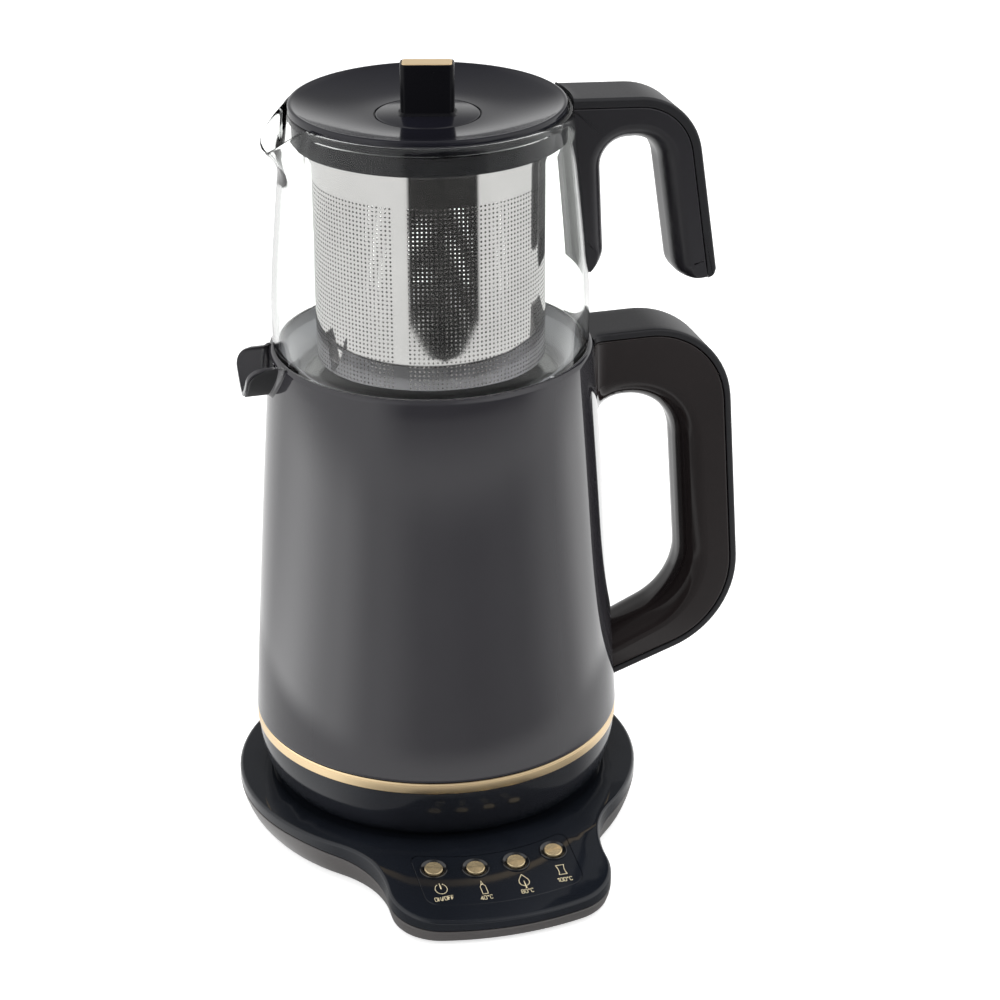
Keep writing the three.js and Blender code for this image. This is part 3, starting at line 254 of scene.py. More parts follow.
def settled(piece, body, stands_for):
    """A piece on its body, in place of CAD nodes."""
    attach(piece, body)
    if stands_for:
        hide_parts(*stands_for)
    return piece


def add_piece(name, points, faces, finish, body, slot, stands_for=(), crease=32, merge=0.002, cutter=None):
    """A piece from points in millimetres and faces, opened where a cutter passes through it."""
    piece = linked(name, clean_mesh(name, points, faces, merge, crease))
    piece.data.materials.append(finish)
    if cutter:
        cut = piece.modifiers.new("cut", "BOOLEAN")
        cut.operation = "DIFFERENCE"
        cut.object = cutter
        piece.data = worked_mesh(piece, cut)
        piece.data.name = name
        piece.data.set_sharp_from_angle(angle=math.radians(crease))
    return settled(piece, body, stands_for)


def finish_of(name, shade, spread, roughness, roughness_spread, grain, depth, stretch=(1, 1, 1), **sockets):
    """A finish whose shade, roughness and fine surface vary with the grain, per metre, over the piece."""
    made = bpy.data.materials.new(name)
    made.use_nodes = True
    tree = made.node_tree
    skin = tree.nodes["Principled BSDF"]
    place = node(tree, "ShaderNodeTexCoord").outputs["Object"]
    tones = node(tree, "ShaderNodeValToRGB",
                 {"Fac": node(tree, "ShaderNodeTexNoise", {"Vector": place, "Scale": 25.0, "Detail": 3.0})})
    low, high = tones.color_ramp.elements
    low.position, high.position = 0.3, 0.7
    low.color = linear([level * (1 - spread) for level in shade])
    high.color = linear([min(255, level * (1 + spread)) for level in shade])
    lay = node(tree, "ShaderNodeMapping", {"Vector": place, "Scale": stretch})
    fine = node(tree, "ShaderNodeTexNoise", {"Vector": lay, "Scale": grain, "Detail": 2.0})
    rough = span(tree, fine, 0.0, 1.0, roughness - roughness_spread, roughness + roughness_spread)
    bump = node(tree, "ShaderNodeBump", {"Height": fine, "Strength": 1.0, "Distance": depth * millimetre})
    for socket, source in (("Base Color", tones), ("Roughness", rough), ("Normal", bump)):
        tree.links.new(source.outputs[0], skin.inputs[socket])
    for socket, value in sockets.items():
        skin.inputs[socket.replace("_", " ")].default_value = value
    return made


panel_reach = 127
panel_half_width = 48
panel_corner = 23
neck_round = 45
disc_radius = 88.5
undercut = 7
panel_side, disc_blend = 98, 70
base_wall = 2.4
foot_standoff = 1.5
seam_level, seam_front, seam_start = 14.8, 7.1, 50
cover_level, cover_front, cover_start = 20, 12, 81

corner_x = panel_half_width - panel_corner
corner_reach = panel_reach - panel_corner
corner_y = -math.sqrt(corner_reach**2 - corner_x**2)
corner_turn = math.atan2(corner_y, corner_x)
neck_reach = disc_radius + neck_round
neck_span = panel_corner + neck_round
neck_cosine = (neck_reach**2 + corner_reach**2 - neck_span**2) / (2 * neck_reach * corner_reach)
neck_turn = corner_turn + math.acos(neck_cosine)
neck_x, neck_y = neck_reach * math.cos(neck_turn), neck_reach * math.sin(neck_turn)
neck_bearing = math.atan2(neck_y - corner_y, neck_x - corner_x)


def arc(x, y, radius, start, end, steps):
    """Points along an arc, its last point left to what follows."""
    turns = [start + (end - start) * i / steps for i in range(steps)]
    return [(x + radius * math.cos(t), y + radius * math.sin(t)) for t in turns]


def base_outline(inset):
    """The plan outline from the front round to the back and mirrored, moved inwards by an inset."""
    half = math.pi
    side = arc(0, 0, panel_reach - inset, -half / 2, corner_turn, 8)
    side += arc(corner_x, corner_y, panel_corner - inset, corner_turn, neck_bearing, 14)
    side += arc(neck_x, neck_y, neck_round + inset, neck_bearing + half, neck_turn + half, 14)
    side += arc(0, 0, disc_radius - inset, neck_turn, half / 2, 36)
    return side + [(0, disc_radius - inset)] + [(-x, y) for x, y in side[:0:-1]]


def falling(y, level, front, start, blend):
    """A height, level over the disc, that falls evenly to the front with a soft bend at the start."""
    slope = (level - front) / (panel_reach - start)
    past = -y - start
    if past > blend:
        return level - slope * past
    return level - slope * (past + blend) ** 2 / (4 * blend) if past > -blend else level


def seam_at(y):
    """The height of the seam between the two shells."""
    return falling(y, seam_level, seam_front, seam_start, 8)


def cover_at(y):
    """The height of the cover's top."""
    return falling(y, cover_level, cover_front, cover_start, 3)


def skinned(rings, low=None, high=None):
    """Points and faces of a skin through rings of equally many points, fanned shut to two centres."""
    count = len(rings[0])
    points = [tuple(p) for ring in rings for p in ring]
    faces = []
    for r in range(len(rings) - 1):
        for j in range(count):
            k = (j + 1) % count
            faces.append((r * count + j, r * count + k, (r + 1) * count + k, (r + 1) * count + j))
    for centre, start in ((low, 0), (high, (len(rings) - 1) * count)):
        if centre is not None:
            points.append(tuple(centre))
            faces += [(start + j, start + (j + 1) % count, len(points) - 1) for j in range(count)]
    return points, faces


def base_ring(inset, height):
    """The base's outline moved inwards, at a height for each point."""
    return [(x, y, height(y)) for x, y in base_outline(inset)]


def held(share):
    """A share held between 0 and 1."""
    return min(1.0, max(0.0, share))


underside = lambda y: foot_standoff
lower_finish = finish_of("satin_grey_plastic", (80, 77, 76), 0.03, 0.3, 0.05, 900, 0.012,
                         Specular_IOR_Level=0.7)
hull = [base_ring(undercut + 30, underside), base_ring(undercut + 3, underside)]
for share, under_disc, under_panel in ((0.004, 8.4, 4.2), (0.02, 7.3, 3.2), (0.05, 6.3, 2.5), (0.1, 5.3, 2.0),
                                       (0.17, 4.4, 1.6), (0.27, 3.5, 1.3), (0.4, 2.6, 1.0), (0.55, 1.7, 0.65),
                                       (0.72, 0.9, 0.35), (0.87, 0.35, 0.12)):
    ring = []
    for under, out in zip(base_outline(under_disc), base_outline(under_panel)):
        tall = held((under[1] + panel_side) / disc_blend)
        x, y = [a * tall + b * (1 - tall) for a, b in zip(under, out)]
        ring.append((x, y, foot_standoff + share * (seam_at(y) - 0.3 - foot_standoff)))
    hull.append(ring)
hull += [base_ring(inset, height) for inset, height in
         ((0.0, lambda y: seam_at(y) - 0.3), (0.25, seam_at), (base_wall, seam_at),
          (base_wall, lambda y: seam_at(y) - 2), (undercut + 4, lambda y: foot_standoff + base_wall))]
hull_centre = -disc_radius / 3
points, faces = skinned(hull, (0, hull_centre, foot_standoff), (0, hull_centre, foot_standoff + base_wall))
add_piece("base_lower_shell", points, faces, lower_finish, "base", "base_lower", ["base_bottom_shell"])

# Upper cover of the base: glossy black plastic with a soft shoulder, a shallow well for the kettle and a
# recess for the control panel's plate. It clips over the lower shell and is screwed to it from below.
well_radius = 74
well_floor = 19.1
plug_hole = 16.3
shoulder = 1.5
plate_gap = 0.16
plate_half_width = 34.2
plate_inner, plate_outer = 87.6, 117
plate_round = 7
panel_slope = (cover_level - cover_front) / (panel_reach - cover_start)
panel_tilt = math.atan(panel_slope)
button_circle = 95.5
panel_level = cover_level - panel_slope * (button_circle - cover_start)
on_panel = Matrix.Translation((0, -button_circle, panel_level)) @ Matrix.Rotation(panel_tilt, 4, "X")


def rounded(corners, steps=6, closed=False):
    """Points along [x, y, radius] corners with the corners rounded."""
    points = []
    count = len(corners)
    for i, (x, y, radius) in enumerate(corners):
        if radius == 0 or (not closed and i in (0, count - 1)):
            points.append((x, y))
            continue
        corner = Vector((x, y))
        back = (Vector(corners[i - 1][:2]) - corner).normalized()
        ahead = (Vector(corners[(i + 1) % count][:2]) - corner).normalized()
        half = back.angle(ahead) / 2
        centre = corner + (back + ahead).normalized() * radius / math.sin(half)
        start = corner + back * radius / math.tan(half) - centre
        sweep = (math.pi - 2 * half) * (1 if back.x * ahead.y - back.y * ahead.x < 0 else -1)
        for k in range(steps + 1):
            turned_start = Matrix.Rotation(sweep * k / steps, 2) @ start
            points.append(tuple(centre + turned_start))
    return points


def inset_loop(loop, distance):
    """A closed anticlockwise loop moved inwards by a distance."""
    moved = []
    for i, point in enumerate(loop):
        before, after = Vector(loop[i - 1]), Vector(loop[(i + 1) % len(loop)])
        run_in, run_out = (Vector(point) - before).normalized(), (after - Vector(point)).normalized()
        inward = Vector((-run_in.y - run_out.y, run_in.x + run_out.x)).normalized()
        moved.append(tuple(Vector(point) + inward * distance / max(0.4, math.cos(run_in.angle(run_out) / 2))))
    return moved


def inside(point, loop):
    """Whether a point lies inside a closed loop."""
    x, y = point
    hit = False
    for (ax, ay), (bx, by) in zip(loop, loop[1:] + loop[:1]):
        if (ay > y) != (by > y) and x < (bx - ax) * (y - ay) / (by - ay) + ax:
            hit = not hit
    return hit


def filled(loops, height, spacing=None, solid=None):
    """A flat fill between an outer loop and the loops of its holes, at a height for each point."""
    if solid is None:
        solid = lambda spot: inside(spot, loops[0]) and not any(inside(spot, hole) for hole in loops[1:])
    flat = [Vector(p) for loop in loops for p in loop]
    edges, start = [], 0
    for loop in loops:
        edges += [(start + i, start + (i + 1) % len(loop)) for i in range(len(loop))]
        start += len(loop)
    if spacing:
        xs, ys = [p[0] for p in loops[0]], [p[1] for p in loops[0]]
        for gx in np.arange(min(xs) + spacing, max(xs), spacing):
            for gy in np.arange(min(ys) + spacing, max(ys), spacing):
                far = min((gx - p.x) ** 2 + (gy - p.y) ** 2 for p in flat[:start]) > (spacing * 0.5) ** 2
                if far and solid((gx, gy)):
                    flat.append(Vector((gx, gy)))
    spots, _, triangles, *_ = delaunay_2d_cdt(flat, edges, [], 0, 1e-5)
    faces = [tuple(face) for face in triangles if solid(sum((spots[i] for i in face), Vector((0, 0))) / 3)]
    return [(p.x, p.y, height(p.x, p.y)) for p in spots], faces


def joined(*parts):
    """Several lists of points and faces as one."""
    points, faces = [], []
    for more_points, more_faces in parts:
        faces += [tuple(i + len(points) for i in face) for face in more_faces]
        points += [tuple(p) for p in more_points]
    return points, faces


def placed(part, matrix):
    """Points and faces moved by a matrix."""
    return [tuple(matrix @ Vector(p)) for p in part[0]], part[1]


def circle(radius, sides=96, x=0.0, y=0.0):
    """A closed loop of points round a centre."""
    return [(x + radius * math.cos(2 * math.pi * i / sides), y + radius * math.sin(2 * math.pi * i / sides))
            for i in range(sides)]


def turned(profile, sides=96):
    """A skin turned about the Z axis from (radius, height) pairs."""
    rings = [[(x, y, z) for x, y in circle(radius, sides)] for radius, z in profile if radius > 0]
    low = (0, 0, profile[0][1]) if profile[0][0] == 0 else None
    high = (0, 0, profile[-1][1]) if profile[-1][0] == 0 else None
    if low is None:
        rings.append(rings[0])
    return skinned(rings, low, high)


def walled(*rings):
    """A skin through loops, each with its height."""
    return skinned([[(x, y, height) for x, y in loop] for loop, height in rings])


def plate_loop(grow):
    """The control panel's plate in its own plane: two arcs about the kettle's axis and upright sides."""
    corners = []
    for way, radius, corner in ((1, plate_outer + grow, plate_round),
                                (-1, plate_inner - grow, plate_round / 2)):
        for i in range(13):
            x = way * (plate_half_width + grow) * (i / 6 - 1)
            y = (button_circle - math.sqrt(radius**2 - x**2)) / math.cos(panel_tilt)
            corners.append((x, y, corner if i in (0, 12) else 0))
    return rounded(corners, closed=True)


gloss_black = finish_of("gloss_black_plastic", (22, 25, 31), 0.08, 0.08, 0.02, 700, 0.002,
                        Specular_IOR_Level=0.5)
roof_depth = cover_level - well_floor + 3
recess_depth = 1.3
cover_side = [(base_wall, lambda y: cover_at(y) - roof_depth), (base_wall, lambda y: seam_at(y) + 0.3),
              (0.35, lambda y: seam_at(y) + 0.3), (0.0, lambda y: seam_at(y) + 0.7),
              (0.0, lambda y: cover_at(y) - shoulder)]
for k in range(1, 7):
    swing = math.pi / 2 * k / 6
    cover_side.append((shoulder * (1 - math.cos(swing)),
                       lambda y, s=swing: cover_at(y) - shoulder * (1 - math.sin(s))))
recess = plate_loop(plate_gap)
recess_in_plan = [tuple((on_panel @ Vector((x, y, 0))).to_2d()) for x, y in recess]
well_edge = circle(well_radius + 0.5, 128)
well = [(well_radius + 0.15, 19.85), (well_radius, 19.5), (well_radius, well_floor),
        (plug_hole + 0.8, well_floor), (plug_hole + 0.2, well_floor - 0.2), (plug_hole, well_floor - 0.8),
        (plug_hole, well_floor - 3)]
points, faces = joined(
    skinned([base_ring(inset, height) for inset, height in cover_side]),
    filled([base_outline(cover_side[-1][0]), well_edge, recess_in_plan], lambda x, y: cover_at(y), 7),
    walled((well_edge, cover_level), *[(circle(radius, 128), z) for radius, z in well]),
    placed(walled((recess, 0), (recess, -recess_depth)), on_panel),
    placed(filled([recess], lambda x, y: -recess_depth), on_panel),
    filled([base_outline(base_wall), circle(plug_hole, 128)], lambda x, y: cover_at(y) - roof_depth, 14))
points = [(x, y, cover_at(y)) if abs(z - cover_at(y)) < 0.02 else (x, y, z) for x, y, z in points]
add_piece("base_upper_cover", points, faces, gloss_black, "base", "base_cover", ["base_top_cover"])

# Control panel: an inset plate of the same gloss black with four sprung push buttons, each a spun
# metal cap in a dished black bezel. Pictures and words are printed on the plate in pale gold.
plate_thickness = 1.0
plate_edge = 0.18
bezel_hole = 5.95
button_spacing = 17.7
button_places = []
for i in range(4):
    swing = (i - 1.5) * button_spacing / button_circle
    button_places.append((button_circle * math.sin(swing),
                          (button_circle - button_circle * math.cos(swing)) / math.cos(panel_tilt)))
plate_holes = [circle(bezel_hole, 48, x, y) for x, y in button_places]
outer_loop = plate_loop(0)
top_loop = inset_loop(outer_loop, plate_edge)
plate = joined(walled((outer_loop, -plate_thickness), (outer_loop, -plate_edge), (top_loop, 0)),
               filled([top_loop] + plate_holes, lambda x, y: 0),
               filled([outer_loop] + plate_holes, lambda x, y: -plate_thickness),
               *[walled((hole, 0), (hole, -plate_thickness)) for hole in plate_holes])
add_piece("panel_plate", *placed(plate, on_panel), gloss_black, "base", "base_cover", ["control_panel_plate"])


def tree_with(name, **kinds):
    """A geometry node tree, its start and its inputs: its own geometry, others by kind, and a finish."""
    tree = bpy.data.node_groups.new(name, "GeometryNodeTree")
    for label, kind in {"Geometry": "Geometry", **kinds, "Finish": "Material"}.items():
        tree.interface.new_socket(label, in_out="INPUT", socket_type="NodeSocket" + kind)
    tree.interface.new_socket("Geometry", in_out="OUTPUT", socket_type="NodeSocketGeometry")
    return tree, node(tree, "NodeGroupInput").outputs


def end_tree(tree, geometry, finish):
    """The last steps of a tree: the finish is set on its geometry."""
    finished = node(tree, "GeometryNodeSetMaterial", {"Geometry": geometry, "Material": finish})
    node(tree, "NodeGroupOutput", {0: finished})


def copies_tree():
    """A node tree that sets copies of its own geometry on given places, tilted to a slope."""
    tree, start = tree_with("copies_on_places", Places="Object", Tilt="Float")
    spots = node(tree, "GeometryNodeObjectInfo", {"Object": start["Places"]}).outputs["Geometry"]
    copies = node(tree, "GeometryNodeInstanceOnPoints",
                  {"Points": spots, "Instance": start["Geometry"],
                   "Rotation": node(tree, "ShaderNodeCombineXYZ", {"X": start["Tilt"]})})
    end_tree(tree, node(tree, "GeometryNodeRealizeInstances", {"Geometry": copies}), start["Finish"])
    return tree


def run_tree(name, tree, part, inputs, body, stands_for):
    """A piece made by a node tree from the points and faces of one copy, turned into a plain mesh."""
    seed = linked(name + "_seed", clean_mesh(name, *part))
    grown = seed.modifiers.new("tree", "NODES")
    grown.node_group = tree
    for socket in tree.interface.items_tree:
        if socket.in_out == "INPUT" and socket.name in inputs:
            grown[socket.identifier] = inputs[socket.name]
    whole = worked_mesh(seed, grown)
    bpy.data.objects.remove(seed)
    whole.name = name
    return settled(linked(name, whole), body, stands_for)


copies = copies_tree()


def copied(name, part, spots, tilt, finish, stands_for):
    """Copies of one part of the base, in one piece, on places in millimetres."""
    mesh = bpy.data.meshes.new(name + "_places")
    mesh.from_pydata([tuple(v * millimetre for v in p) for p in spots], [], [])
    marks = linked(name + "_places", mesh)
    run_tree(name, copies, part, {"Places": marks, "Tilt": tilt, "Finish": finish}, "base",
             [f"{stands_for}_{i}" for i in range(1, len(spots) + 1)])
    bpy.data.objects.remove(marks)


bezel_profile = [(4.3, -4.0), (5.9, -4.0), (5.9, 0.25), (5.86, 0.45), (5.75, 0.62), (5.6, 0.7), (5.45, 0.66),
                 (5.3, 0.52), (5.1, 0.3), (4.85, 0.1), (4.55, -0.02), (4.38, -0.1), (4.3, -0.3)]
bezel_finish = finish_of("bezel_black_plastic", (18, 19, 23), 0.08, 0.07, 0.02, 1200, 0.001,
                         Specular_IOR_Level=0.8)
copied("button_bezels", turned(bezel_profile, 48), [on_panel @ Vector((x, y, 0)) for x, y in button_places],
       panel_tilt, bezel_finish, "button_bezel")

cap_profile = [(0, -0.2), (3.9, -0.2), (3.9, 0.62), (3.86, 0.78), (3.72, 0.9), (3.5, 0.97), (3.3, 0.94),
               (3.1, 0.93), (2.4, 0.96), (1.4, 0.985), (0.5, 0.995), (0, 1.0)]
for i, (x, y) in enumerate(button_places, start=1):
    cap_finish = finish_of(f"spun_pale_gold_{i}", (238, 216, 174), 0.03, 0.26, 0.008, 900, 0.0002,
                           Metallic=0.8, Anisotropic=0.85, Anisotropic_Rotation=0.25)
    cap_tree = cap_finish.node_tree
    tangent = node(cap_tree, "ShaderNodeTangent", direction_type="UV_MAP", uv_map="spin")
    cap_tree.links.new(tangent.outputs[0], cap_tree.nodes["Principled BSDF"].inputs["Tangent"])
    at_button = on_panel @ Matrix.Translation((x, y, 0))
    cap = add_piece(f"button_{i}_metal_cap", *placed(turned(cap_profile, 48), at_button), cap_finish,
                    f"button_{i}", "button_metal", [f"button_cap_{i}"], crease=50)
    spin = cap.data.uv_layers.new(name="spin")
    back = at_button.inverted()
    for loop in cap.data.loops:
        local = back @ (cap.data.vertices[loop.vertex_index].co / millimetre)
        spin.data[loop.index].uv = (math.atan2(local.y, local.x) / 6.3, math.hypot(local.x, local.y) / 4)

print_width = 0.27
print_rise = 0.05


def stroke(line, width=print_width, closed=False):
    """A flat printed line of even width along points, with its own thickness."""
    count = len(line)
    left, right = [], []
    for i, point in enumerate(line):
        here = Vector(point)
        before = Vector(line[i - 1]) if closed or i else here
        after = Vector(line[(i + 1) % count]) if closed or i < count - 1 else here
        run_in, run_out = (here - before).normalized(), (after - here).normalized()
        run_in, run_out = (run_in or run_out), (run_out or run_in)
        side = Vector((-run_in.y - run_out.y, run_in.x + run_out.x)).normalized()
        side *= width / 2 / max(0.45, side.dot(Vector((-run_in.y, run_in.x))))
        left.append(here + side)
        right.append(here - side)
    rings = [[(a.x, a.y, 0.005), (b.x, b.y, 0.005), (b.x, b.y, print_rise), (a.x, a.y, print_rise)]
             for a, b in zip(left, right)]
    if closed:
        return skinned(rings + rings[:1])
    points, faces = skinned(rings)
    return points, faces + [(0, 1, 2, 3), tuple(len(points) - 4 + i for i in range(4))]


letter_lines = {
    "O": [([(0.12, 0), (0.5, 0), (0.62, 0.12), (0.62, 0.88), (0.5, 1), (0.12, 1), (0, 0.88),
            (0, 0.12)], True)],
    "N": [([(0, 0), (0, 1), (0.62, 0), (0.62, 1)], False)],
    "F": [([(0, 0), (0, 1), (0.56, 1)], False), ([(0.06, 0.52), (0.48, 0.52)], False)],
    "/": [([(0, -0.08), (0.42, 1.08)], False)],
    "4": [([(0.5, 0), (0.5, 1), (0, 0.3), (0.66, 0.3)], False)],
    "8": [([(0.1, 0.53), (0.5, 0.53), (0.58, 0.64), (0.58, 0.89), (0.48, 1), (0.12, 1), (0.02, 0.89),
            (0.02, 0.64)], True),
          ([(0.12, 0), (0.5, 0), (0.62, 0.11), (0.62, 0.42), (0.5, 0.53), (0.12, 0.53), (0, 0.42),
            (0, 0.11)], True)],
    "1": [([(0.06, 0.78), (0.3, 1), (0.3, 0)], False)],
    "C": [([(0.6, 0.84), (0.48, 1), (0.12, 1), (0, 0.88), (0, 0.12), (0.12, 0), (0.48, 0),
            (0.6, 0.16)], False)],
    "°": [([(0.2 + 0.13 * math.cos(t), 0.88 + 0.13 * math.sin(t)) for t in np.linspace(0, 5.5, 8)], True)],
}
letter_widths = {"1": 0.36, "/": 0.42, "°": 0.36, "F": 0.54}


def words(text, height, lead, x, y):
    """Lettering in thin even strokes, its middle at a point of the panel."""
    widths = [letter_widths.get(sign, 0.62) for sign in text]
    narrow = 0.78 * height
    left = x - (sum(widths) + lead * (len(text) - 1)) * narrow / 2
    lines = []
    for sign, width in zip(text.replace("0", "O"), widths):
        for line, closed in letter_lines[sign]:
            placed_line = [(left + px * narrow, y + (py - 0.5) * height) for px, py in line]
            lines.append(stroke(placed_line, width=0.23, closed=closed))
        left += (width + lead) * narrow
    return joined(*lines)


def shifted(line, x, y):
    """A line moved along both ways of the panel."""
    return [(px + x, py + y) for px, py in line]


picture_drop = 12.4
word_drop = 18.3
power_ring = [(2.5 * math.sin(t), 3.0 * math.cos(t)) for t in np.linspace(0.42, 2 * math.pi - 0.42, 30)]
bottle = [(-1.15, -3.6), (-1.15, 1.0), (-0.45, 2.2), (0, 4.3), (0.45, 2.2), (1.15, 1.0), (1.15, -3.6)]
leaf = [(0, 4.3), (-0.9, 2.9), (-1.9, 1.2), (-2.2, -0.4), (-1.7, -1.8), (-0.6, -2.6), (0.6, -2.6),
        (1.7, -1.8), (2.2, -0.4), (1.9, 1.2), (0.9, 2.9)]
cup = [(-1.75, -2.7), (-1.3, -1.2), (-1.3, 0.8), (-1.75, 3.0), (1.75, 3.0), (1.3, 0.8), (1.3, -1.2),
       (1.75, -2.7)]
pictures = [[(power_ring, False), ([(0, -0.1), (0, 3.5)], False)],
            [(bottle, True), ([(-0.45, 2.2), (0.45, 2.2)], False)],
            [(leaf, True), ([(0, -4.2), (0, 0.4)], False)], [(cup, True)]]
prints = []
for (x, y), lines, text in zip(button_places, pictures, ("ON/OFF", "40°C", "80°C", "100°C")):
    prints += [stroke(shifted(line, x, y - picture_drop), closed=closed) for line, closed in lines]
    prints.append(words(text, 2.2, 0.26, x - 0.2, y - word_drop))
print_finish = finish_of("pale_gold_print", (222, 208, 172), 0.06, 0.4, 0.06, 2500, 0.001)
add_piece("panel_prints", *placed(joined(*prints), on_panel), print_finish, "base", "gold_trim", merge=0.0002)

# Feet and screws under the base, its power connector with a brass ring, and the cord inlet at the
# back: rubber pads pressed into the shell, pan-head screws, and black moulded plastic.
rubber = finish_of("black_rubber", (26, 26, 27), 0.12, 0.78, 0.08, 600, 0.03)
foot_profile = [(0, 0), (6.2, 0), (6.7, 0.15), (7, 0.6), (7, 2.2), (0, 2.2)]
foot_circle, screw_circle = 63, 62
copied("base_feet", turned(foot_profile, 40),
       [(foot_circle, 0, 0), (0, foot_circle, 0), (-foot_circle, 0, 0), (-26, -108, 0), (26, -108, 0)],
       0.0, rubber, "foot")
zinc = finish_of("zinc_screw", (150, 150, 150), 0.06, 0.32, 0.08, 1500, 0.004, Metallic=1.0)
screw_profile = [(0, 0.55), (0.8, 0.5), (0.95, 0.02), (2.5, 0.08), (2.9, 0.3), (3, 0.7), (3, 1.1), (1.1, 1.1),
                 (1.1, 9), (0, 9)]
copied("base_screws", turned(screw_profile, 20),
       [(screw_circle * math.cos(math.pi * k / 4), screw_circle * math.sin(math.pi * k / 4), foot_standoff)
        for k in (1, 3, 5, 7)], 0.0, zinc, "base_screw")

connector_black = finish_of("connector_black_plastic", (34, 34, 36), 0.08, 0.5, 0.08, 1100, 0.01)
plug_top = well_floor + 12
plug_profile = [(0, 15.3), (20, 15.3), (20, 17.3), (16, 17.3), (16, plug_top - 2), (15.8, plug_top - 1.3),
                (15.2, plug_top - 0.5), (14.2, plug_top), (11.3, plug_top), (11.3, plug_top - 3),
                (8.7, plug_top - 3), (8.7, plug_top), (4.2, plug_top), (3.6, plug_top - 0.5),
                (3.6, plug_top - 8), (0, plug_top - 8)]
add_piece("base_power_plug", *turned(plug_profile, 64), connector_black, "base", "matte_black",
          ["base_connector"])
brass = finish_of("contact_brass", (201, 162, 83), 0.06, 0.28, 0.08, 1500, 0.003, Metallic=1.0)
ring_profile = [(9, plug_top - 2.7), (11, plug_top - 2.7), (11, plug_top + 0.2), (10.8, plug_top + 0.4),
                (9.2, plug_top + 0.4), (9, plug_top + 0.2)]
add_piece("plug_contact_ring", *turned(ring_profile, 64), brass, "base", "contact_brass",
          ["connector_contact_ring"])

gland_height = 9.4
lay_back = Matrix.Translation((0, 0, gland_height)) @ Matrix.Rotation(-math.pi / 2, 4, "X")
gland_profile = [(2.8, 75.9), (5.2, 75.9), (5.2, 77.5), (4, 77.5), (4, 88.2), (4.35, 88.6), (4.35, 89.4),
                 (4, 89.8), (4, 90.9), (3.7, 91.5), (3.1, 91.5), (2.8, 91.2)]
add_piece("cord_grommet", *placed(turned(gland_profile, 40), lay_back), rubber, "base", "rubber_black",
          ["cord_inlet"])

# Inside the base, out of sight: the circuit board with its switches, and the plungers that the caps
# press. They stay as the frame has them and only get their real finishes.
board_green = finish_of("circuit_board_green", (31, 90, 54), 0.15, 0.5, 0.08, 1500, 0.01)
hidden_black = finish_of("inner_black_plastic", (36, 36, 38), 0.08, 0.55, 0.08, 1000, 0.01)


def dress(finish, *names):
    """A better finish for CAD nodes that are shown as they are."""
    for name in names:
        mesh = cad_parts[name].data
        if mesh.materials:
            for i in range(len(mesh.materials)):
                mesh.materials[i] = finish
        else:
            mesh.materials.append(finish)


dress(board_green, "circuit_board")
dress(hidden_black, *[f"button_{part}_{i}" for part in ("switch", "plunger") for i in range(1, 5)])

# Foot of the kettle: a glossy black skirt that tapers to the base, with the round power socket in its
# middle, and above it a thin pale gold band with a fine groove.
def bend(start, middle, end, t):
    """A value on its way from start to end, drawn to the middle one on the way."""
    return (1 - t) ** 2 * start + 2 * t * (1 - t) * middle + t * t * end


skirt_profile = [(23, 23), (55.8, 23), (58, 19.4)]
skirt_profile += [(bend(68, 78.7, 78.7, t), bend(19.4, 23, 44.5, t)) for t in np.linspace(0, 1, 20)]
skirt_profile += [(78.5, 44.7), (76.5, 44.7)]
skirt_profile += [(bend(65.8, 76.5, 76.5, t), bend(25.2, 28.8, 44.5, t)) for t in np.linspace(0.95, 0, 12)]
skirt_profile += [(23, 25.2)]
skirt_gloss = finish_of("skirt_gloss_black", (26, 28, 33), 0.1, 0.12, 0.02, 700, 0.002,
                        Specular_IOR_Level=0.5)
add_piece("kettle_foot_skirt", *turned(skirt_profile, 160), skirt_gloss, "kettle", "skirt_black",
          ["kettle_skirt"])
socket_profile = [(0, 24.3), (2.3, 24.3), (2.6, 24.6), (2.6, 32.7), (17.2, 32.7), (17.2, 20.6), (17.5, 20.3),
                  (19.4, 20.3), (19.7, 20.6), (19.7, 25.5), (26, 25.5), (26, 27.7), (19.7, 27.7),
                  (19.7, 34.9), (0, 34.9)]
add_piece("kettle_power_socket", *turned(socket_profile, 64), connector_black, "coupler", "matte_black",
          ["kettle_connector"])
gold = finish_of("polished_pale_gold", (252, 224, 180), 0.02, 0.3, 0.04, 900, 0.002, Metallic=1.0)
band_profile = [(77.4, 45), (79.15, 45), (79.33, 45.08), (79.4, 45.3), (79.4, 48.55), (79.28, 48.66),
                (79.28, 48.8), (79.4, 48.92), (79.4, 49.7), (79.33, 49.92), (79.15, 50), (77.4, 50)]
add_piece("gold_trim_band", *turned(band_profile, 192), gold, "kettle", "gold_trim", ["trim_band"])

# Kettle body: a double wall, outside a tapered shell lacquered dark grey with a rolled rim. Under the
# rim a window opens into the spout.
shell_foot, shell_rim = 50.3, 219.4
shell_foot_radius, shell_top_radius = 79.5, 68.3
shell_bulge = 0.4
rim_round = 2.4
side_top = shell_rim - rim_round
lip_radius = 66.8


def shell_radius(z):
    """The outside radius of the shell at a height."""
    middle = (shell_foot_radius + shell_top_radius) / 2 + shell_bulge * 2
    return bend(shell_foot_radius, middle, shell_top_radius, (z - shell_foot) / (side_top - shell_foot))


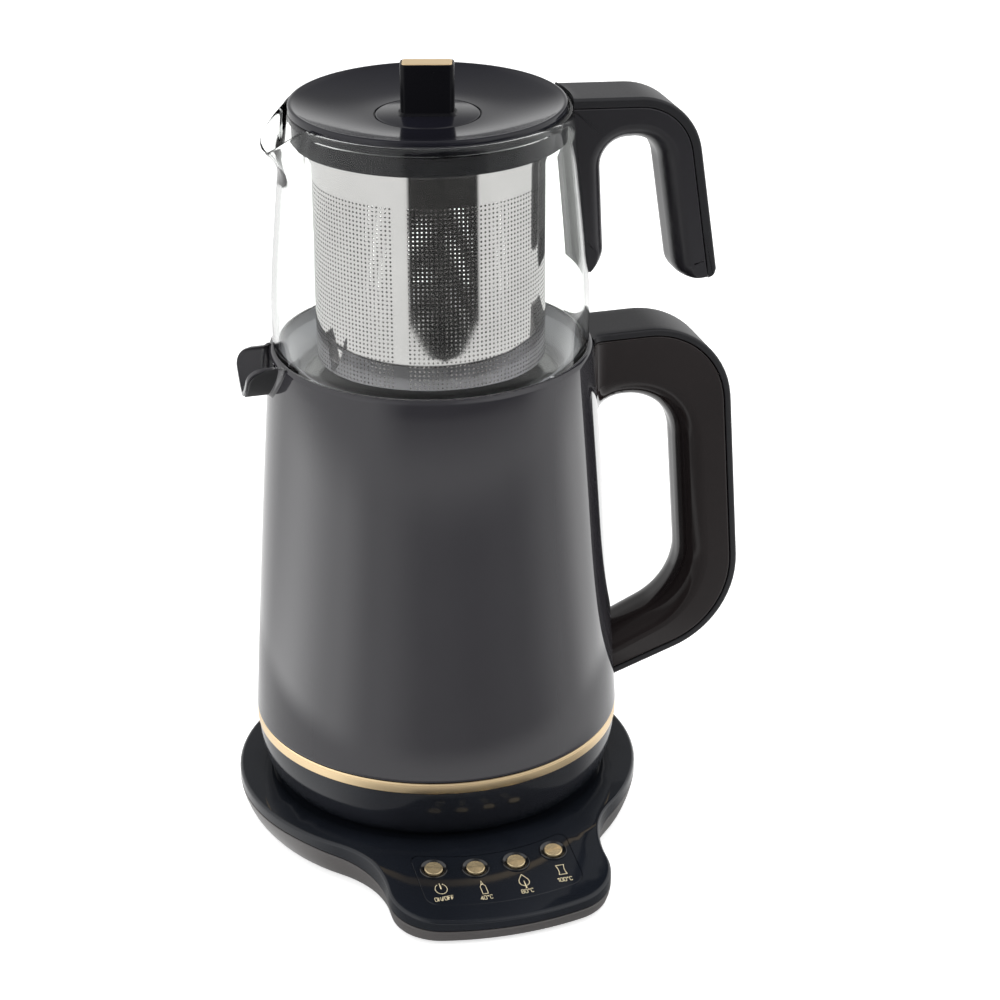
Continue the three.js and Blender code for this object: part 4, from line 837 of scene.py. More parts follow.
shell_profile = [(77.3, shell_foot), (79.1, shell_foot), (79.4, shell_foot + 0.12)]
side_levels = [shell_foot + 0.5, *np.linspace(shell_foot + 1.5, side_top, 24)]
shell_profile += [(shell_radius(z), z) for z in side_levels]
shell_profile += [(shell_top_radius - rim_round * (1 - math.cos(t)), side_top + rim_round * math.sin(t))
                  for t in np.linspace(0.2, math.pi / 2, 8)]
shell_profile += [(lip_radius, shell_rim - 0.75), (lip_radius, 212.1)]
shell_profile += [(shell_radius(z) - 2.2, z) for z in np.linspace(212.1, shell_foot + 1, 8)]
spout_reach = 81.4
spout_half = 13.9
spout_depth = 16
spout_top = shell_rim - 0.2
spout_wall = 1.9
front_round = 7


def gutter(t, grow):
    """A point of the spout's section, (across, height), from edge to edge, moved outwards."""
    half, low = spout_half + grow, spout_top - spout_depth - grow
    side = low + (spout_top - low) * 0.75
    way, t = (1 if t > 0 else -1), abs(t)
    across = 3 * (1 - t) ** 2 * t * half * 0.29 + 3 * (1 - t) * t * t * half + t**3 * half
    height = (1 - t) ** 3 * low + 3 * (1 - t) ** 2 * t * low + 3 * (1 - t) * t * t * side + t**3 * spout_top
    return way * across, height


window_sides = 25
window_edge = [gutter(t, -1.5) for t in np.linspace(-0.85, 0.85, window_sides)]
points, faces = skinned([[(x, y, z) for y, z in window_edge] for x in (-77, -55)])
cutter_mesh = bpy.data.meshes.new("spout_window")
cutter_mesh.from_pydata([tuple(v * millimetre for v in p) for p in points], [],
                        faces + [tuple(range(window_sides)),
                                 tuple(range(2 * window_sides - 1, window_sides - 1, -1))])
window_cutter = linked("spout_window", cutter_mesh)
shell_grey = finish_of("shell_grey_lacquer", (44, 43, 47), 0.02, 0.3, 0.03, 500, 0.002,
                       Specular_IOR_Level=0.0, Coat_Weight=1.0, Coat_Roughness=0.05, Coat_IOR=1.6)
add_piece("kettle_body_shell", *turned(shell_profile, 192), shell_grey, "kettle", "shell_grey",
          ["kettle_shell"], cutter=window_cutter)

# Spout: an open gutter pressed from the same lacquered sheet, joined to the shell with a soft fillet and
# lined with matt black plastic. A small steel strainer stands behind its window.
def gutter_sheet(grow, inset, root_depth, flare):
    """A grid of points over the spout's channel, from inside the shell to its rounded front edge."""
    grid = []
    for t in np.linspace(-1, 1, 49):
        across, z = gutter(t, grow)
        root = math.sqrt((shell_radius(min(z, side_top)) - root_depth) ** 2 - across**2)
        over = max(0.0, min(z, spout_top - 0.01) - (spout_top - front_round))
        front = spout_reach - front_round + math.sqrt(max(0.0, (front_round - inset) ** 2 - over**2))
        row = []
        for x in root + (front - root) * np.linspace(0, 1, 22):
            away = max(0.0, x - root - root_depth)
            spread = flare * max(0.0, 1 - away / (flare * 1.2)) ** 2 if flare else 0.0
            wide, low = gutter(t, grow + spread)
            row.append((-x, wide, min(low, spout_top)))
        grid.append(row)
    return grid


def sheet_piece(name, grid, thickness, rounding, finish, slot, stands_for):
    """A piece of the kettle bent from a grid of points and given a wall, its edges rounded by a bevel."""
    rows, columns = len(grid), len(grid[0])
    faces = [(r * columns + c, (r + 1) * columns + c, (r + 1) * columns + c + 1, r * columns + c + 1)
             for r in range(rows - 1) for c in range(columns - 1)]
    piece = add_piece(name, sum(grid, []), faces, finish, "kettle", slot, stands_for, crease=60, merge=0.0001)
    wall = piece.modifiers.new("wall", "SOLIDIFY")
    wall.thickness = abs(thickness) * millimetre
    wall.offset = math.copysign(1, thickness)
    wall.use_even_offset = True
    if rounding:
        edge = piece.modifiers.new("edge", "BEVEL")
        edge.width = rounding * millimetre
        edge.segments = 3
        edge.limit_method = "ANGLE"
        edge.angle_limit = math.radians(50)


sheet_piece("kettle_spout_gutter", gutter_sheet(0.0, 0.0, 1.2, 2.6), spout_wall, 0.75, shell_grey,
            "shell_grey", ["kettle_spout"])

# Inside the kettle: a pale grey mouth ring that carries the teapot on its cone, a silicone seal, the
# brushed steel vessel and, below it, the heating plate with its element and thermostat.
mouth_grey = finish_of("mouth_grey_plastic", (222, 222, 230), 0.03, 0.3, 0.05, 900, 0.004)
mouth_profile = [(58.5, 200), (65.8, 200), (65.8, 211.9), (66.76, 212.2), (66.76, 218.3), (66.68, 218.45),
                 (66.58, 218.3), (66.5, 212.9), (65.9, 212.3), (64.9, 211.9), (59.0, 206.0), (58.5, 205.0)]
add_piece("mouth_support_ring", *turned(mouth_profile, 160), mouth_grey, "kettle", "mouth_grey",
          ["mouth_ring"], cutter=window_cutter)
bpy.data.objects.remove(window_cutter)
vessel_steel = finish_of("vessel_brushed_steel", (190, 190, 192), 0.04, 0.3, 0.1, 90, 0.002,
                         stretch=(1, 1, 40), Metallic=1.0)
vessel_profile = [(0, 56)] + rounded([(60, 56, 0), (74.1, 56, 7), (73.6, 70, 0)], 8)
vessel_profile += [(shell_radius(z) - 5, z) for z in np.linspace(72, 197, 14)]
vessel_profile += [(shell_radius(z) - 5.8, z) for z in np.linspace(197, 72, 14)]
vessel_profile += rounded([(72.8, 70, 0), (73.3, 56.8, 6.3), (60, 56.8, 0)], 8) + [(0, 56.8)]
add_piece("steel_water_vessel", *turned(vessel_profile, 128), vessel_steel, "kettle", "steel",
          ["inner_vessel"])
silicone = finish_of("seal_silicone", (216, 214, 208), 0.03, 0.7, 0.08, 900, 0.01)
aluminium = finish_of("cast_aluminium", (168, 169, 172), 0.06, 0.45, 0.1, 700, 0.02, Metallic=1.0)
element_steel = finish_of("element_steel", (150, 148, 150), 0.08, 0.4, 0.1, 900, 0.01, Metallic=1.0)
strainer_steel = finish_of("strainer_steel", (190, 190, 192), 0.04, 0.25, 0.08, 900, 0.004, Metallic=1.0)
dress(silicone, "mouth_seal")
dress(aluminium, "heating_plate", "thermostat")
dress(element_steel, "heating_element")
dress(strainer_steel, "spout_strainer")
liner_black = finish_of("liner_matt_black", (30, 30, 32), 0.1, 0.6, 0.08, 900, 0.01)
sheet_piece("spout_liner_sheet", gutter_sheet(-0.35, 0.95, 0.8, 0.0), -0.8, 0.0, liner_black, "matte_black",
            ["spout_liner"])

# Kettle handle: a hollow loop in two mouldings screwed on from inside the shell, a broad glossy grip
# and a flat satin cover along its spine, parted by a fine dark seam. Three small vents open beside
# its upper root.
def split_evenly(chain, marks, counts):
    """A chain redrawn with even steps between its ends and its points nearest to the marks."""
    chain = [Vector(p) for p in chain]
    cuts = [min(range(len(chain)), key=lambda i: (chain[i] - Vector(mark)).length) for mark in marks]
    points = [tuple(chain[0])]
    for start, end, count in zip([0] + cuts, cuts + [len(chain) - 1], counts):
        piece = chain[start:end + 1]
        way = np.cumsum([0] + [(b - a).length for a, b in zip(piece, piece[1:])])
        steps = np.linspace(0, way[-1], count + 1)[1:]
        points += zip(*[np.interp(steps, way, [p[axis] for p in piece]) for axis in (0, 1)])
    return points


def middle_of(ring):
    """The centre of a ring of points."""
    return tuple(sum((Vector(p) for p in ring), Vector((0, 0, 0))) / len(ring))


def sides_of(chain):
    """A unit vector to the left of the way at each point of a chain."""
    ends = len(chain) - 1
    ways = [(Vector(chain[min(i + 1, ends)]) - Vector(chain[max(i - 1, 0)])).normalized()
            for i in range(ends + 1)]
    return [Vector((-way.y, way.x)) for way in ways]


def bar(outers, inners, half_width, outer_rounds, inner_rounds, way=1, steps=7, across=(0.25, 0.5, 0.75)):
    """A bar between two matched chains, its outer edges rounded evenly, its inner ones by (depth, width)."""
    rings = []
    stations = zip(outers, sides_of(outers), inners, sides_of(inners), outer_rounds, inner_rounds)
    for outer, out_side, inner, in_side, outer_round, inner_round in stations:
        room = (Vector(outer) - Vector(inner)).length - outer_round
        inner_round = [size * min(1.0, max(0.05, room - 0.2) / inner_round[0]) for size in inner_round]
        edge, hold = [], min(0.4, max(0.0, room - inner_round[0]) / 3)
        for start, side, (depth, width) in ((outer, out_side, (outer_round,) * 2),
                                            (inner, -in_side, inner_round)):
            start, side = Vector(start), side * way
            flat = [(start, (half_width - width) * share) for share in across]
            line = [(start + side * depth * (1 - math.cos(t)), half_width - width * (1 - math.sin(t)))
                    for t in np.linspace(0, math.pi / 2, steps)]
            line.append((start + side * (depth + hold), half_width))
            edge += flat + line if not edge else (flat + line)[::-1]
        rings.append([(p.x, y, p.y) for p, y in edge] + [(p.x, -y, p.y) for p, y in edge[::-1]])
    return skinned(rings, middle_of(rings[0]), middle_of(rings[-1]))


handle_half = 14
handle_top, handle_foot = 218.5, 52.6
grip_top_reach, grip_foot_reach = 128.1, 137.5
lower_arm_rise, lower_arm_depth = 22.2, 18.6
grip_lean = 9.4 / (handle_top - handle_foot - lower_arm_rise)
window_top = 186.7
inner_level = 91.5
inner_reach = lambda z: grip_top_reach - 24.1 + (handle_top - z) * grip_lean
handle_root = 66.1
spine = [(handle_root, handle_foot - 1.9, 0), (grip_foot_reach, handle_foot + lower_arm_rise, 42),
         (grip_top_reach, handle_top, 38), (handle_root, handle_top, 0)]
window = [(handle_root, handle_foot + lower_arm_depth, 0), (inner_reach(inner_level), inner_level, 27),
          (inner_reach(window_top), window_top, 24), (handle_root, window_top, 0)]


def inset_chain(chain, distance):
    """A chain of [x, y, radius] corners moved towards the inside of its bends, its arcs kept concentric."""
    moved = []
    for i, (x, y, radius) in enumerate(chain):
        here = Vector((x, y))
        if 0 < i < len(chain) - 1:
            back = (Vector(chain[i - 1][:2]) - here).normalized()
            ahead = (Vector(chain[i + 1][:2]) - here).normalized()
            half = back.angle(ahead) / 2
            here += (back + ahead).normalized() * distance / math.sin(half)
            moved.append((here.x, here.y, radius - distance))
        else:
            other = Vector(chain[1 if i == 0 else i - 1][:2])
            run = (other - here).normalized()
            side = -1 if i == 0 else 1
            moved.append((x + run.y * distance * side, y - run.x * distance * side, 0))
    return moved


root_drop, root_run = 10.5, 13
upper_arm = window_top - 20
fade_start, fade_height = 8, 18


def outside_shell(points, gap, flare=0.0):
    """Points kept outside the shell, where a part ends; the upper arm may spread on it with a soft fillet."""
    kept = []
    for x, y, z in points:
        reach = shell_radius(min(max(z, shell_foot), side_top)) + gap
        away = max(0.0, x - math.sqrt(max(0.0, reach**2 - y * y)))
        if z > upper_arm:
            low = held((handle_top - fade_start - z) / fade_height)
            z -= root_drop * (1 - math.sqrt(1 - max(0.0, 1 - away / root_run) ** 2)) * low * (flare > 0)
            spread = flare * (1 - math.sqrt(1 - max(0.0, 1 - away / max(flare, 0.1)) ** 2))
            y += math.copysign(spread, y) * min(1.0, abs(y) / 6)
        kept.append((max(x, math.sqrt(max(0.0, reach**2 - y * y))), y, z))
    return kept


def bends_of(chain):
    """The sharp corners of a chain, near the middle of its bends."""
    return [corner[:2] for corner in chain[1:-1]]


def evenly(chain, steps, counts):
    """A chain with rounded corners, redrawn in even steps from bend to bend."""
    return split_evenly(rounded(chain, steps), bends_of(chain), counts)


runs, bend_steps = [26, 34, 34], 18
sunk_in, root_fillet = -0.6, 5.0
window_rounding = (10.5, 11.5)
cover_depth, seam_gap = 3, 0.3
body_chain = inset_chain(spine, cover_depth + seam_gap)
body_outer = evenly(body_chain, bend_steps, runs)
body_inner = evenly(window, bend_steps, runs)
handle_gloss = finish_of("handle_gloss_brown_black", (31, 26, 26), 0.05, 0.1, 0.02, 600, 0.002,
                         Specular_IOR_Level=0.35)
points, faces = bar(body_outer, body_inner, handle_half, [0.9] * len(body_outer),
                    [window_rounding] * len(body_outer))
grip = add_piece("kettle_handle_loop", outside_shell(points, sunk_in, root_fillet), faces, handle_gloss,
                 "kettle", "handle_gloss", ["kettle_handle_body"])
bpy.context.view_layer.update()
vent_profile = [(0, 0.01), (0.5, 0.01), (0.55, 0.07), (0.64, 0.07), (0.7, 0.0), (0.7, -0.4), (0, -0.4)]
vents = []
for near_vent in ((74.6, -13.6, 187.6), (77.8, -13.6, 188.2), (81.2, -13.6, 188.8)):
    _, spot_on, facing, _ = grip.closest_point_on_mesh(Vector(near_vent) * millimetre)
    turn_out = facing.to_track_quat("Z", "X").to_matrix().to_4x4()
    vents.append(placed(turned(vent_profile, 16), Matrix.Translation(spot_on / millimetre) @ turn_out))
add_piece("kettle_handle_vents", *joined(*vents), liner_black, "kettle", "matte_black")
handle_satin = finish_of("handle_cover_satin", (30, 30, 33), 0.05, 0.38, 0.04, 900, 0.006,
                         Specular_IOR_Level=0.4)
inner_spine = inset_chain(spine, cover_depth)
cover_outer = evenly(spine, bend_steps, runs)
cover_inner = evenly(inner_spine, bend_steps, runs)
points, faces = bar(cover_outer, cover_inner, handle_half, [1.2] * len(cover_outer),
                    [(0.4, 0.4)] * len(cover_outer))
add_piece("kettle_handle_spine", outside_shell(points, sunk_in, root_fillet), faces, handle_satin, "kettle",
          "handle_cover", ["kettle_handle_cover"])
dress(zinc, "handle_screw_1", "handle_screw_2")

# Teapot: blown heat-proof glass with a heavy rounded heel, a drawn-in neck and a pouring lip pulled
# out of its rim. A ledge inside the rim carries the infuser.
pot_radius, pot_rim_radius = 66.5, 59.3
glass_wall = 2
heel_radius = 12
heel_level = 218.9
pot_rim = 321.1
straight_height, shoulder_rise = 18, 13
lip_height = 30
lip_half_angle = 0.36
lip_out = [8.5, 9.4, 9.6, 9.1, 7.8, 5.9, 3.7, 1.3, 0.0]
lip_drop = [13.9, 13.2, 12.0, 10.5, 8.5, 6.0, 3.4, 1.1, 0.0]


def shares_between(values, t):
    """A smooth value between evenly spaced ones, at a share from 0 to 1."""
    place = held(t) * (len(values) - 1)
    i = min(int(place), len(values) - 2)
    f = place - i
    a, b = values[max(i - 1, 0)] if i else values[1], values[i]
    c, d = values[i + 1], values[min(i + 2, len(values) - 1)]
    return 0.5 * (2 * b + (c - a) * f + (2 * a - 5 * b + 4 * c - d) * f * f + (3 * b - a - 3 * c + d) * f**3)


def glass_side(inset, steps=14):
    """The side of the pot, (radius, height) from its straight foot to its rim, moved inwards."""
    base, foot, top = heel_level + straight_height, pot_radius - inset, pot_rim_radius - inset
    return [(bend(foot, foot, top, t), bend(base, base + shoulder_rise, pot_rim - 0.8, t))
            for t in np.linspace(0, 1, steps)]


def quarter(x, z, radius, steps, start=-math.pi / 2, end=0.0):
    """Points along an arc, a quarter of a turn unless told otherwise."""
    return [(x + radius * math.cos(t), z + radius * math.sin(t)) for t in np.linspace(start, end, steps)]


side_steps = 46
ledge_level = pot_rim - 3.9
plain_top = pot_rim - 1.2
rim_inner = pot_rim_radius - glass_wall
wall_side = [p for p in glass_side(glass_wall, side_steps)[::-1] if p[1] < ledge_level - 4]
top_side = [(rim_inner, plain_top), (rim_inner, ledge_level), (rim_inner - 1.3, ledge_level),
            (rim_inner - 1.3, ledge_level - 1.3)]
wall_x, wall_z = wall_side[0]
plain_side = [(wall_x + (rim_inner - wall_x) * t, wall_z + (plain_top - wall_z) * t)
              for t in (1, 0.7, 0.45, 0.2)]
outer_side = [(0, heel_level - heel_radius)] + quarter(pot_radius - heel_radius, heel_level, heel_radius, 16)
outer_side += glass_side(0, side_steps) + quarter(pot_rim_radius - 1, pot_rim - 1, 1, 10, 0.3, math.pi - 0.3)
inner_floor = quarter(49.5, 223.9, 15, 14, 0.0, -math.pi / 2) + [(0, 208.9)]
lip_fade = (0.36, 0.46)


def glass_radius(z):
    """The outside radius of the glass at a height."""
    side = glass_side(0, 40)
    if z <= side[0][1]:
        return pot_radius
    for (ra, za), (rb, zb) in zip(side, side[1:]):
        if z <= zb:
            return ra + (rb - ra) * (z - za) / (zb - za)
    return pot_rim_radius


def eased(value):
    """A share from 0 to 1 with soft ends."""
    value = held(value)
    return value * value * (3 - 2 * value)


def glass_ring(swing):
    """One side of the glass at an angle from the lip: the ledge gives way to the lip drawn out of the rim."""
    fade = eased((abs(swing) - lip_fade[0]) / (lip_fade[1] - lip_fade[0]))
    ledge = [(a + (c - a) * fade, b + (d - b) * fade) for (a, b), (c, d) in zip(plain_side, top_side)]
    line = []
    for radius, z in outer_side + ledge + wall_side + inner_floor:
        upwards = held((z - pot_rim + lip_height) / lip_height)
        share = abs(swing) / lip_half_angle
        if share < 1 and upwards > 0:
            skin = glass_radius(z)
            radius = skin - (skin - radius) * (1 - 0.6 * eased(1.6 * (1 - share)) * eased(upwards * 1.5))
            radius += shares_between(lip_out, share) * upwards**2.2
            z -= shares_between(lip_drop, share) * upwards**1.1
        line.append((-radius * math.cos(swing), -radius * math.sin(swing), z))
    return line


clear_glass = bpy.data.materials.new("clear_glass")
clear_glass.use_nodes = True
glass_tree = clear_glass.node_tree
glass_skin = glass_tree.nodes["Principled BSDF"]
glass_skin.inputs["Transmission Weight"].default_value = 1.0
glass_skin.inputs["IOR"].default_value = 1.3
glass_skin.inputs["Roughness"].default_value = 0.0
glass_place = node(glass_tree, "ShaderNodeTexCoord").outputs["Object"]
glass_cloud = node(glass_tree, "ShaderNodeTexNoise", {"Vector": glass_place, "Scale": 30.0, "Detail": 2.0})
glass_tint = mixed(glass_tree, glass_cloud, linear((250, 252, 250)), linear((253, 254, 253)))
glass_tree.links.new(glass_tint.outputs[0], glass_skin.inputs["Base Color"])
swings = [*np.linspace(-0.5, 0.5, 120), *np.linspace(0.5, 2 * math.pi - 0.5, 170)[1:-1]]
sides = [glass_ring(swing) for swing in swings]
rings = [[side[i] for side in sides] for i in range(1, len(sides[0]) - 1)]
pot_glass = add_piece("teapot_blown_glass", *skinned(rings, sides[0][0], sides[0][-1]), clear_glass, "teapot",
                      "teapot_glass", ["teapot_glass"])
pot_glass.visible_shadow = False

# Teapot handle: an open hook in satin black plastic. Its long pointed strip is fixed down the glass,
# and a cover runs along the spine as on the kettle's handle.
pot_half = 13
hook_top = pot_rim + 1.4
hook_end = hook_top - 85.5
hook_reach, hook_spread, hook_fall = 111, 11.9, 3.4
hook_end_reach = hook_reach + hook_spread
hook_lean = hook_spread / (86.5 - hook_fall)
hook_inner = lambda z: hook_reach - 17 + (hook_top - hook_fall - z) * hook_lean
arch_top = hook_top - 20.4
strip_foot = hook_top - 71
strip_face = pot_rim_radius + 12
arch_span = hook_inner(arch_top) - strip_face
pot_root = rim_inner - 6
pot_cover_depth = 4
hook_spine = [(pot_root, hook_top, 0), (hook_reach, hook_top - hook_fall, 29), (hook_end_reach, hook_end, 0)]


def outside_glass(points, gap):
    """Points kept outside the glass, where the handle is fixed on it."""
    return [(max(x, math.sqrt(max(0.0, (glass_radius(z) + gap) ** 2 - y * y))), y, z) for x, y, z in points]


def reversed_inset(chain, distance):
    """The chain moved to the inside of its bends, for a chain that runs the other way round."""
    return inset_chain(chain[::-1], distance)[::-1]


strip_tip = strip_foot - 5
hook_edge = reversed_inset(hook_spine, pot_cover_depth + seam_gap)
edge_top, edge_low = Vector(hook_edge[1][:2]), Vector(hook_edge[2][:2])
end_rise = 2.1
end_x = (edge_top + (edge_low - edge_top) * (edge_top.y - hook_end - end_rise) / (edge_top.y - edge_low.y)).x
outer_chain = [(pot_root, strip_tip, 0), (pot_root, hook_edge[0][1], 0.6), hook_edge[1],
               (end_x, hook_end + end_rise + 0.2, 0)]
inner_chain = [(pot_radius - 0.5, strip_tip, 0), (strip_face + 2.2, strip_tip + 8, 8),
               (strip_face, arch_top, arch_span * 0.42), (hook_inner(arch_top), arch_top, arch_span * 0.5),
               (hook_inner(hook_end), hook_end, 8.0), (end_x - 0.3, hook_end + end_rise, 0)]
hook_runs, hook_bend_steps = [34, 24, 30, 26], 14
low_mark = (edge_top + (Vector((end_x, hook_end + end_rise)) - edge_top) * 0.9)[:]
outer_line = rounded(outer_chain, hook_bend_steps)
outer_line.insert(-1, low_mark)
hook_outers = split_evenly(outer_line, bends_of(outer_chain) + [low_mark], hook_runs)
hook_inners = split_evenly(rounded(inner_chain, hook_bend_steps), bends_of(inner_chain)[1:], hook_runs)
hook_depth, hook_width = 7.0, 9.3
hook_last = sum(hook_runs)
hook_fading = [min(eased((i - 1) / 8), eased((hook_last - i) / 26) ** 1.5) for i in range(hook_last + 1)]
hook_rounds = [(0.5 + (hook_depth - 0.5) * share, 0.6 + (hook_width - 0.6) * share) for share in hook_fading]
end_across = (0.25, 0.38, 0.5, 0.6, 0.7, 0.79, 0.87, 0.93, 0.97)
hook_satin = finish_of("teapot_handle_satin", (33, 32, 36), 0.05, 0.28, 0.01, 900, 0.001,
                       Specular_IOR_Level=0.5)
hook_edges = [0.12 + 0.48 * eased((hook_last - i) / 20) for i in range(hook_last + 1)]
points, faces = bar(hook_outers, hook_inners, pot_half, hook_edges, hook_rounds, way=-1, across=end_across)
add_piece("teapot_handle_hook", outside_glass(points, 0.1), faces, hook_satin, "teapot", "teapot_handle",
          ["teapot_handle_body"])
inner_spine = reversed_inset(hook_spine, pot_cover_depth)
cover_end_x = hook_end_reach - end_rise * hook_lean
outer_chain = hook_spine[:2]
outer_chain += [(cover_end_x, hook_end + end_rise + 0.5, 3.0), (cover_end_x - 3.4, hook_end + end_rise, 0)]
inner_end = Vector(inner_spine[-1][:2]) + Vector((-hook_lean * end_rise, end_rise + 0.25))
inner_chain = inner_spine[:2] + [(inner_end.x, inner_end.y, 0)]
cover_outers = evenly(outer_chain, hook_bend_steps, [20, 34, 12])
cover_inners = evenly(inner_chain, hook_bend_steps, [20, 46])
cover_last = len(cover_outers) - 1
fading = [eased((cover_last - i) / 14) for i in range(cover_last + 1)]
points, faces = bar(cover_outers, cover_inners, pot_half, [0.12 + 1.1 * share for share in fading],
                    [(0.1 + 0.3 * share,) * 2 for share in fading], way=-1, across=end_across)
add_piece("teapot_handle_spine", outside_glass(points, 0.1), faces, handle_satin, "teapot", "teapot_handle",
          ["teapot_handle_cover"])

# Infuser: a black plastic collar that hangs on the ledge of the teapot, and a sleeve of thin polished
# steel, punched all over in straight rows, seamed down one side and closed with a punched floor.
collar_foot, collar_top = 308.4, 320.0
flange_foot = 317.5
screen_radius, screen_wall = 48, 0.5
screen_foot, screen_top = 215.4, 312.1
collar_black = finish_of("collar_black_plastic", (12, 12, 16), 0.05, 0.14, 0.005, 900, 0.0001,
                         Specular_IOR_Level=0.25)
collar_profile = [(48.3, collar_foot), (55.1, collar_foot), (55.6, collar_foot + 0.5), (55.6, flange_foot),
                  (57, flange_foot), (57, collar_top - 0.4), (56.6, collar_top), (47.8, collar_top),
                  (47.5, collar_top - 0.3), (47, 312.4), (48.3, 312.4)]
latch_turn, latch_half, latch_depth = -1.683, 0.1, 1.0
latch_low, latch_high = collar_foot + 1.6, flange_foot - 1.2
latch_steps = [latch_low + step for step in (-0.15, 0.15, 1.6, 1.9)]
latch_steps += [latch_high - step for step in (1.9, 1.6, 0.15, -0.15)]
collar_profile[3:3] = [(55.6, level) for level in latch_steps]
turns = list(np.linspace(latch_turn - latch_half - 0.02, latch_turn + latch_half + 0.02, 60))
turns += list(np.linspace(turns[-1], turns[0] + 2 * math.pi, 140))[1:-1]


def latched(radius, z, turn):
    """A point of the collar, with the latch's shallow recess and the tab in its middle."""
    across = abs(turn - latch_turn) * radius
    half = latch_half * radius
    if radius > 55.5 and latch_low < z < latch_high and across < half:
        tab = latch_low + 1.7 < z < latch_high - 1.7
        radius -= latch_depth * min(1.0, (half - across) / 0.7)
        radius += latch_depth * 0.65 * held((half - 1.4 - across) / 0.7) * tab
    return radius * math.cos(turn), radius * math.sin(turn), z


rings = [[latched(radius, z, turn) for turn in turns] for radius, z in collar_profile]
add_piece("infuser_top_collar", *skinned(rings + rings[:1]), collar_black, "infuser", "collar_black",
          ["infuser_collar"], crease=25)
pitches_round, hole_columns = 163, 160
pitch_around = 2 * math.pi * screen_radius / pitches_round
hole_radius = 0.475
hole_rows = 42
hole_top = 293.5


def punched_tile(pitch, radius, wall):
    """One square of punched sheet with its round hole, both faces and the hole's wall."""
    half = pitch / 2
    rim = [(half, 0), (half, half), (0, half), (-half, half), (-half, 0), (-half, -half), (0, -half),
           (half, -half)]
    hole = [(radius * math.cos(k * math.pi / 4), radius * math.sin(k * math.pi / 4)) for k in range(8)]
    rings = [[(x, y, 0) for x, y in rim], [(x, y, 0) for x, y in hole], [(x, y, wall) for x, y in hole],
             [(x, y, wall) for x, y in rim]]
    return skinned(rings)


def sleeve_tree():
    """A node tree that lays copies of a tile in rows and columns and bends the sheet into a round sleeve."""
    tree, start = tree_with("punched_sleeve", Columns="Int", Rows="Int", Width="Float", Height="Float",
                            Radius="Float", Middle="Float", Turn="Float")
    spots = node(tree, "GeometryNodeMeshGrid", {"Size X": start["Width"], "Size Y": start["Height"],
                                                "Vertices X": start["Columns"], "Vertices Y": start["Rows"]})
    copies = node(tree, "GeometryNodeInstanceOnPoints", {"Points": spots, "Instance": start["Geometry"]})
    real = node(tree, "GeometryNodeRealizeInstances", {"Geometry": copies})
    flat = node(tree, "ShaderNodeSeparateXYZ", {"Vector": node(tree, "GeometryNodeInputPosition")}).outputs
    angle = maths(tree, "ADD", maths(tree, "DIVIDE", flat["X"], start["Radius"]), start["Turn"])
    radius = maths(tree, "SUBTRACT", start["Radius"], flat["Z"])
    x, y = [maths(tree, "MULTIPLY", radius, maths(tree, way, angle)) for way in ("COSINE", "SINE")]
    bent = node(tree, "ShaderNodeCombineXYZ",
                {"X": x, "Y": y, "Z": maths(tree, "ADD", flat["Y"], start["Middle"])})
    moved = node(tree, "GeometryNodeSetPosition", {"Geometry": real, "Position": bent})
    closed = node(tree, "GeometryNodeMergeByDistance", {"Geometry": moved, "Distance": 0.00001})
    end_tree(tree, closed, start["Finish"])
    return tree


screen_steel = finish_of("polished_screen_steel", (222, 219, 219), 0.02, 0.06, 0.01, 60, 0.0003,
                         stretch=(1, 1, 30), Metallic=1.0)
sleeve = sleeve_tree()
seam_turn = math.radians(-119.1)
tile = punched_tile(pitch_around, hole_radius, screen_wall)
half_rows = hole_rows // 2
for part, name in enumerate(("infuser_sleeve_upper", "infuser_sleeve_lower")):
    middle = hole_top - pitch_around * half_rows * (part + 0.5)
    layout = {"Columns": hole_columns, "Rows": half_rows,
              "Width": (hole_columns - 1) * pitch_around * millimetre,
              "Height": (half_rows - 1) * pitch_around * millimetre,
              "Radius": screen_radius * millimetre, "Middle": middle * millimetre,
              "Turn": seam_turn + math.pi, "Finish": screen_steel}
    run_tree(name, sleeve, tile, layout, "infuser", ["infuser_screen"])
hole_foot = hole_top - hole_rows * pitch_around
seam_half = math.pi * (pitches_round - hole_columns) / pitches_round
seam_grid = []
for z in np.linspace(hole_foot - 0.01, hole_top + 0.01, 12):
    seam_grid.append([(r * math.cos(seam_turn + a), r * math.sin(seam_turn + a), z) for r, a in
                      [(screen_radius, t) for t in np.linspace(-seam_half, seam_half, 7)] +
                      [(screen_radius - screen_wall, t) for t in np.linspace(seam_half, -seam_half, 7)]])
seam_strip = skinned(seam_grid, middle_of(seam_grid[0]), middle_of(seam_grid[-1]))
bands = []
for low, high in ((hole_top, screen_top), (screen_foot, hole_foot)):
    bands.append(turned([(screen_radius - screen_wall, low), (screen_radius, low), (screen_radius, high),
                         (screen_radius - screen_wall, high)], pitches_round))
add_piece("infuser_sleeve_bands", *joined(seam_strip, *bands), screen_steel, "infuser", "screen_steel")
floor_low, floor_high = [Vector(corner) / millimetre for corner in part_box("infuser_floor")]
floor_edge = floor_high.x
floor_pitch, floor_hole = 2.6, 0.6
grid = np.arange(-18, 19) * floor_pitch
floor_places = [(x, y) for x in grid for y in grid if math.hypot(x, y) < floor_edge - 4]
floor_loops = [circle(floor_edge, 128)] + [circle(floor_hole, 8, x, y) for x, y in floor_places]


def floor_solid(spot):
    """Whether a spot of the floor lies outside its holes."""
    near_x, near_y = [round(way / floor_pitch) * floor_pitch for way in spot]
    return (math.hypot(near_x, near_y) >= floor_edge - 4
            or math.hypot(spot[0] - near_x, spot[1] - near_y) >= floor_hole * 0.85)


